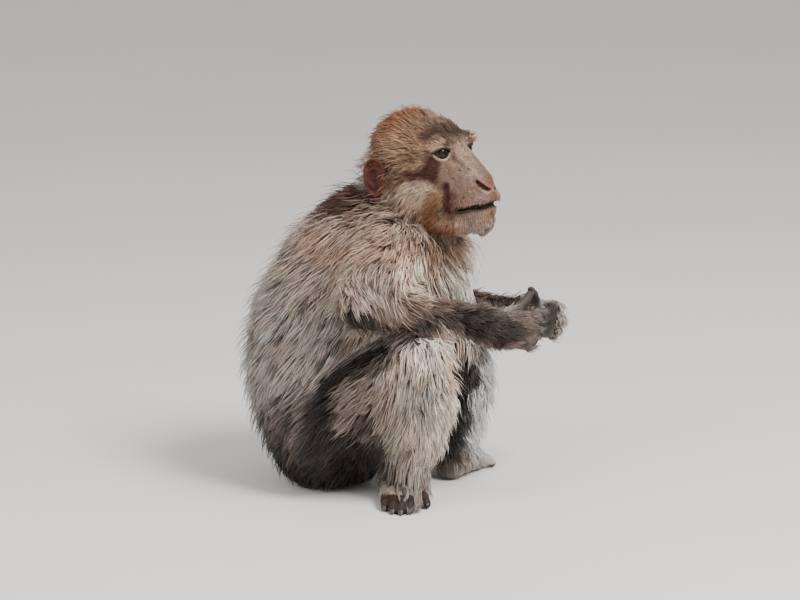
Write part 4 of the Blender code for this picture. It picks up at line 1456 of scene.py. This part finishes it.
def eyeball(side, settings):
    """A ball with the bulge of the cornea. The share of the way from its pole to its back is stored on it."""
    pole = Vector((0, -1, 0))
    bm = bmesh.new()
    bmesh.ops.create_uvsphere(bm, u_segments=72, v_segments=54, radius=EYE_RADIUS)
    bmesh.ops.rotate(bm, verts=bm.verts, matrix=Matrix.Rotation(math.radians(90), 3, "X"))
    for vert in bm.verts:
        lift = 0.5 + 0.5 * math.cos(math.pi * min(vert.co.angle(pole) / (settings.iris * 1.15), 1))
        vert.co += vert.co.normalized() * settings.bulge * lift
    gaze = [vert.co.angle(pole) / math.pi for vert in bm.verts]
    turn = turned(side * GAZE_TURN[side], "Z") @ turned(-GAZE_LIFT, "X")
    bmesh.ops.transform(bm, matrix=eye_middle(side) @ turn, verts=bm.verts)
    obj = object_from(bm, f"eyeball_{SIDES[side]}")
    attribute = obj.data.attributes.new("gaze", "FLOAT", "POINT")
    attribute.data.foreach_set("value", np.array(gaze, np.float32))
    return obj


NAIL_SIZE = (0.0028, 0.0046, 0.001)  # half width, half length, half thickness


def nails(part, side):
    """The nails of a hand or foot, curved plates over the backs of the last joints."""
    bm = bmesh.new()
    for tip, along, back in NAILS[part, side]:
        across = along.cross(back)
        axes = Matrix((across, along, back)).transposed().to_4x4()
        axes.translation = tip + back * 0.0028 + along * 0.0008
        sphere(bm, axes @ Matrix.Diagonal((*NAIL_SIZE, 1.0)), 16)
    return object_from(bm, f"nails_{part}_{SIDES[side]}")


# ---- finishes


def add_node(material, kind, inputs=(), links=(), **settings):
    """Adds a node with its own settings, its input values, and links from (input, node, output)."""
    tree = material.node_tree
    made = tree.nodes.new(kind)
    for key, value in settings.items():
        setattr(made, key, value)
    for key, value in dict(inputs).items():
        made.inputs[key].default_value = value
    for key, source, output in links:
        tree.links.new(source.outputs[output], made.inputs[key])
    return made


def new_material(name):
    material = bpy.data.materials.new(name)
    material.use_nodes = True
    material.node_tree.nodes.clear()
    return material


def noise_node(material, place, scale, detail, roughness=0.5):
    values = {"Scale": scale, "Detail": detail, "Roughness": roughness}
    return add_node(material, "ShaderNodeTexNoise", values, [("Vector", place, "Object")])


def bump_node(material, strength, distance, *links):
    return add_node(material, "ShaderNodeBump", {"Strength": strength, "Distance": distance}, links)


def ramp_node(material, link, *stops):
    """A run of colours over the stops given, each a position and a colour."""
    made = add_node(material, "ShaderNodeValToRGB", links=[link])
    elements = made.color_ramp.elements
    while len(elements) < len(stops):
        elements.new(0.5)
    for element, (position, colour) in zip(elements, stops):
        element.position = position
        element.color = (*linear(colour), 1.0)
    return made


def close_material(material, values, *links):
    """Ends a material with its shader, given the shader's values and what is linked to them."""
    shader = add_node(material, "ShaderNodeBsdfPrincipled", values, links)
    add_node(material, "ShaderNodeOutputMaterial", links=[("Surface", shader, "BSDF")])
    return material


def hair_material():
    """Dry animal hair, each lock toned by its clump: painted shade makes it dark at the root, and a faint
    painted sheen lights its tip.
    """
    known = bpy.data.materials.get("macaque_hair")
    if known:
        return known
    material = new_material("macaque_hair")
    tone = add_node(material, "ShaderNodeAttribute", attribute_name="tone")
    values = {"Roughness": 0.62, "Specular IOR Level": 0.22, "Sheen Weight": 0.07, "Sheen Roughness": 0.5}
    return close_material(material, values, ("Base Color", tone, "Color"))


def skin_material():
    """Living skin with very short hair: fine pores and creases, and a little uneven in tone."""
    material = new_material("macaque_skin")
    place = add_node(material, "ShaderNodeTexCoord")
    tone = add_node(material, "ShaderNodeAttribute", attribute_name="tone")
    mottle = noise_node(material, place, 420.0, 4.0, 0.6)
    span = {"From Min": 0.3, "From Max": 0.7, "To Min": 0.8, "To Max": 1.16}
    spread = add_node(material, "ShaderNodeMapRange", span, [("Value", mottle, "Fac")])
    links = [("Vector", tone, "Color"), ("Scale", spread, "Result")]
    colour = add_node(material, "ShaderNodeVectorMath", links=links, operation="SCALE")
    pores = add_node(material, "ShaderNodeTexVoronoi", {"Scale": 950.0}, [("Vector", place, "Object")])
    creases = noise_node(material, place, 260.0, 5.0, 0.65)
    fine = bump_node(material, 0.35, 0.0004, ("Height", pores, "Distance"))
    bump = bump_node(material, 0.6, 0.0009, ("Height", creases, "Fac"), ("Normal", fine, "Normal"))
    values = {"Roughness": 0.6, "Specular IOR Level": 0.26}
    return close_material(material, values, ("Base Color", colour, "Vector"), ("Normal", bump, "Normal"))


IRIS_STOPS = (
    # share of the way from the pole of the eye to its back, and the colour there
    (0.0, "#070504"),
    (0.075, "#070504"),
    (0.09, "#2c1a10"),
    (0.17, "#24150d"),
    (0.215, "#120b08"),
    (0.24, "#1f1612"),
    (0.4, "#40332b"),
)


def eye_material():
    """A wet living eye: dark brown iris round a black pupil, brown at its edge, under a clear glossy film."""
    material = new_material("wet_eye")
    gaze = add_node(material, "ShaderNodeAttribute", attribute_name="gaze")
    ramp = ramp_node(material, ("Fac", gaze, "Fac"), *IRIS_STOPS)
    values = {"Roughness": 0.05, "IOR": 1.376, "Specular IOR Level": 0.35, "Coat Weight": 0.1}
    return close_material(material, values, ("Base Color", ramp, "Color"))


def nail_material():
    """Keratin nail: dark, slightly glossy, with faint ridges."""
    material = new_material("keratin_nail")
    place = add_node(material, "ShaderNodeTexCoord")
    ridges = noise_node(material, place, 900.0, 2.0)
    ramp = ramp_node(material, ("Fac", ridges, "Fac"), (0.0, "#1d1815"), (1.0, "#4a3f38"))
    bump = bump_node(material, 0.3, 0.0002, ("Height", ridges, "Fac"))
    links = [("Base Color", ramp, "Color"), ("Normal", bump, "Normal")]
    return close_material(material, {"Roughness": 0.5}, *links)


def floor_material():
    """Matt painted studio floor, pale grey, with the faintest unevenness."""
    material = new_material("matt_studio_paint")
    place = add_node(material, "ShaderNodeTexCoord")
    cloud = noise_node(material, place, 3.0, 2.0)
    ramp = ramp_node(material, ("Fac", cloud, "Fac"), (0.0, "#dcdad6"), (1.0, "#e2e0dc"))
    return close_material(material, {"Roughness": 0.85}, ("Base Color", ramp, "Color"))


# ---- operators


FLESH = [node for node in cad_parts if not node.startswith("eye_")]
HULL_VOXEL = 0.004


class MACAQUE_OT_skin(bpy.types.Operator):
    """Makes the one skin of the animal and puts it in the place of the solids of flesh"""

    bl_idname = "macaque.skin"
    bl_label = "Skin"

    def execute(self, context):
        settings = context.scene.macaque_skin
        skin = body_skin(settings)
        boolean(skin, head_skin(settings), "UNION")
        for side in SIDES:
            boolean(skin, hand_skin(side, settings), "UNION")
            boolean(skin, foot_skin(side, settings), "UNION")
        set_colours(skin.data, "tone", skin_colours(coordinates(skin.data)))
        finish_piece(skin, "skin", skin_material())
        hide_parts(*FLESH)
        print("skin triangles", count_triangles(skin.data))
        return {"FINISHED"}


class MACAQUE_OT_eyes(bpy.types.Operator):
    """Makes the eyes, with their corneas, in the place of their solids"""

    bl_idname = "macaque.eyes"
    bl_label = "Eyes"

    def execute(self, context):
        material = eye_material()
        for side, name in SIDES.items():
            ball = eyeball(side, context.scene.macaque_eyes)
            finish_piece(ball, f"eyeball_{name}", material)
            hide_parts(f"eye_{name}")
        return {"FINISHED"}


class MACAQUE_OT_nails(bpy.types.Operator):
    """Makes the nails of hands and feet"""

    bl_idname = "macaque.nails"
    bl_label = "Nails"

    def execute(self, context):
        material = nail_material()
        for part, side in NAILS:
            finish_piece(nails(part, side), f"nails_{part}_{SIDES[side]}", material)
        return {"FINISHED"}


class MACAQUE_OT_coat(bpy.types.Operator):
    """Grows the coat from the skin, in locks that lie along the body"""

    bl_idname = "macaque.coat"
    bl_label = "Coat"

    def execute(self, context):
        skin = context.scene.objects.get("skin")
        if skin is None:
            raise RuntimeError("make the skin before the coat")
        hull = blend(solids(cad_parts, "hull"), HULL_VOXEL, 2)
        grow_coat(skin, hull, context.scene.macaque_coat)
        bpy.data.objects.remove(hull)
        return {"FINISHED"}


FLOOR_RADIUS = 14.0
AIM_SHIFT = Vector((0.0013, -0.0034, -0.011))  # across, up and towards the camera, from the solids' middle


class MACAQUE_OT_stage(bpy.types.Operator):
    """Sets out the floor, the lights and the camera"""

    bl_idname = "macaque.stage"
    bl_label = "Stage"

    def execute(self, context):
        settings = context.scene.macaque_stage
        bm = bmesh.new()
        bmesh.ops.create_circle(bm, cap_ends=True, segments=96, radius=FLOOR_RADIUS)
        floor = object_from(bm, "floor")
        floor.data.materials.append(floor_material())
        middle = (CAD_BOX[0] + CAD_BOX[1]) / 2
        turn, rise = settings.azimuth, settings.elevation
        right = Vector((math.cos(turn), math.sin(turn), 0))
        back = Vector((math.sin(turn) * math.cos(rise), -math.cos(turn) * math.cos(rise), math.sin(rise)))
        up = back.cross(right)
        aim = middle + right * AIM_SHIFT.x + up * AIM_SHIFT.y + back * AIM_SHIFT.z
        camera = new_object("camera", bpy.data.cameras.new("camera"))
        camera.data.sensor_width = 36.0
        camera.data.lens = settings.lens
        camera.location = aim + back * settings.distance
        camera.rotation_euler = (-back).to_track_quat("-Z", "Y").to_euler()
        context.scene.camera = camera
        key = middle + right * 1.2 + back * 1.1 + Vector((0, 0, 1.7))
        fill = middle - right * 1.8 + back * 1.3 + Vector((0, 0, 0.8))
        self.light("key", key, 1.1, settings.key, middle)
        self.light("fill", fill, 1.6, settings.fill, middle)
        world = bpy.data.worlds.new("studio")
        world.use_nodes = True
        background = world.node_tree.nodes["Background"]
        background.inputs["Color"].default_value = (*linear("#eceae7"), 1.0)
        background.inputs["Strength"].default_value = settings.sky
        context.scene.world = world
        return {"FINISHED"}

    def light(self, name, place, size, power, goal):
        lamp = bpy.data.lights.new(name, "AREA")
        lamp.shape = "DISK"
        lamp.size = size
        lamp.energy = power
        obj = new_object(name, lamp)
        obj.location = place
        obj.rotation_euler = (goal - place).to_track_quat("-Z", "Y").to_euler()


class MACAQUE_PT_panel(bpy.types.Panel):
    """Lists the steps that make the animal"""

    bl_idname = "MACAQUE_PT_panel"
    bl_label = "Macaque"
    bl_space_type = "VIEW_3D"
    bl_region_type = "UI"
    bl_category = "Macaque"

    def draw(self, context):
        for group, operator in STEPS:
            box = self.layout.box()
            if group:
                settings = getattr(context.scene, group)
                for key in settings.bl_rna.properties.keys():
                    if key not in {"rna_type", "name"}:
                        box.prop(settings, key)
            box.operator(operator)


STEPS = (
    ("macaque_skin", "macaque.skin"),
    ("macaque_eyes", "macaque.eyes"),
    ("", "macaque.nails"),
    ("macaque_coat", "macaque.coat"),
    ("macaque_stage", "macaque.stage"),
)
GROUPS = {
    "macaque_skin": SkinSettings,
    "macaque_coat": CoatSettings,
    "macaque_eyes": EyeSettings,
    "macaque_stage": StageSettings,
}
CLASSES = (
    *GROUPS.values(),
    MACAQUE_OT_skin,
    MACAQUE_OT_eyes,
    MACAQUE_OT_nails,
    MACAQUE_OT_coat,
    MACAQUE_OT_stage,
    MACAQUE_PT_panel,
)


def register():
    for item in CLASSES:
        bpy.utils.register_class(item)
    for name, group in GROUPS.items():
        setattr(bpy.types.Scene, name, bpy.props.PointerProperty(type=group))


def unregister():
    for name in GROUPS:
        delattr(bpy.types.Scene, name)
    for item in reversed(CLASSES):
        bpy.utils.unregister_class(item)


def main():
    register()
    bpy.ops.macaque.skin()
    bpy.ops.macaque.eyes()
    bpy.ops.macaque.nails()
    bpy.ops.macaque.coat()
    bpy.ops.macaque.stage()


if __name__ == "__main__":
    main()
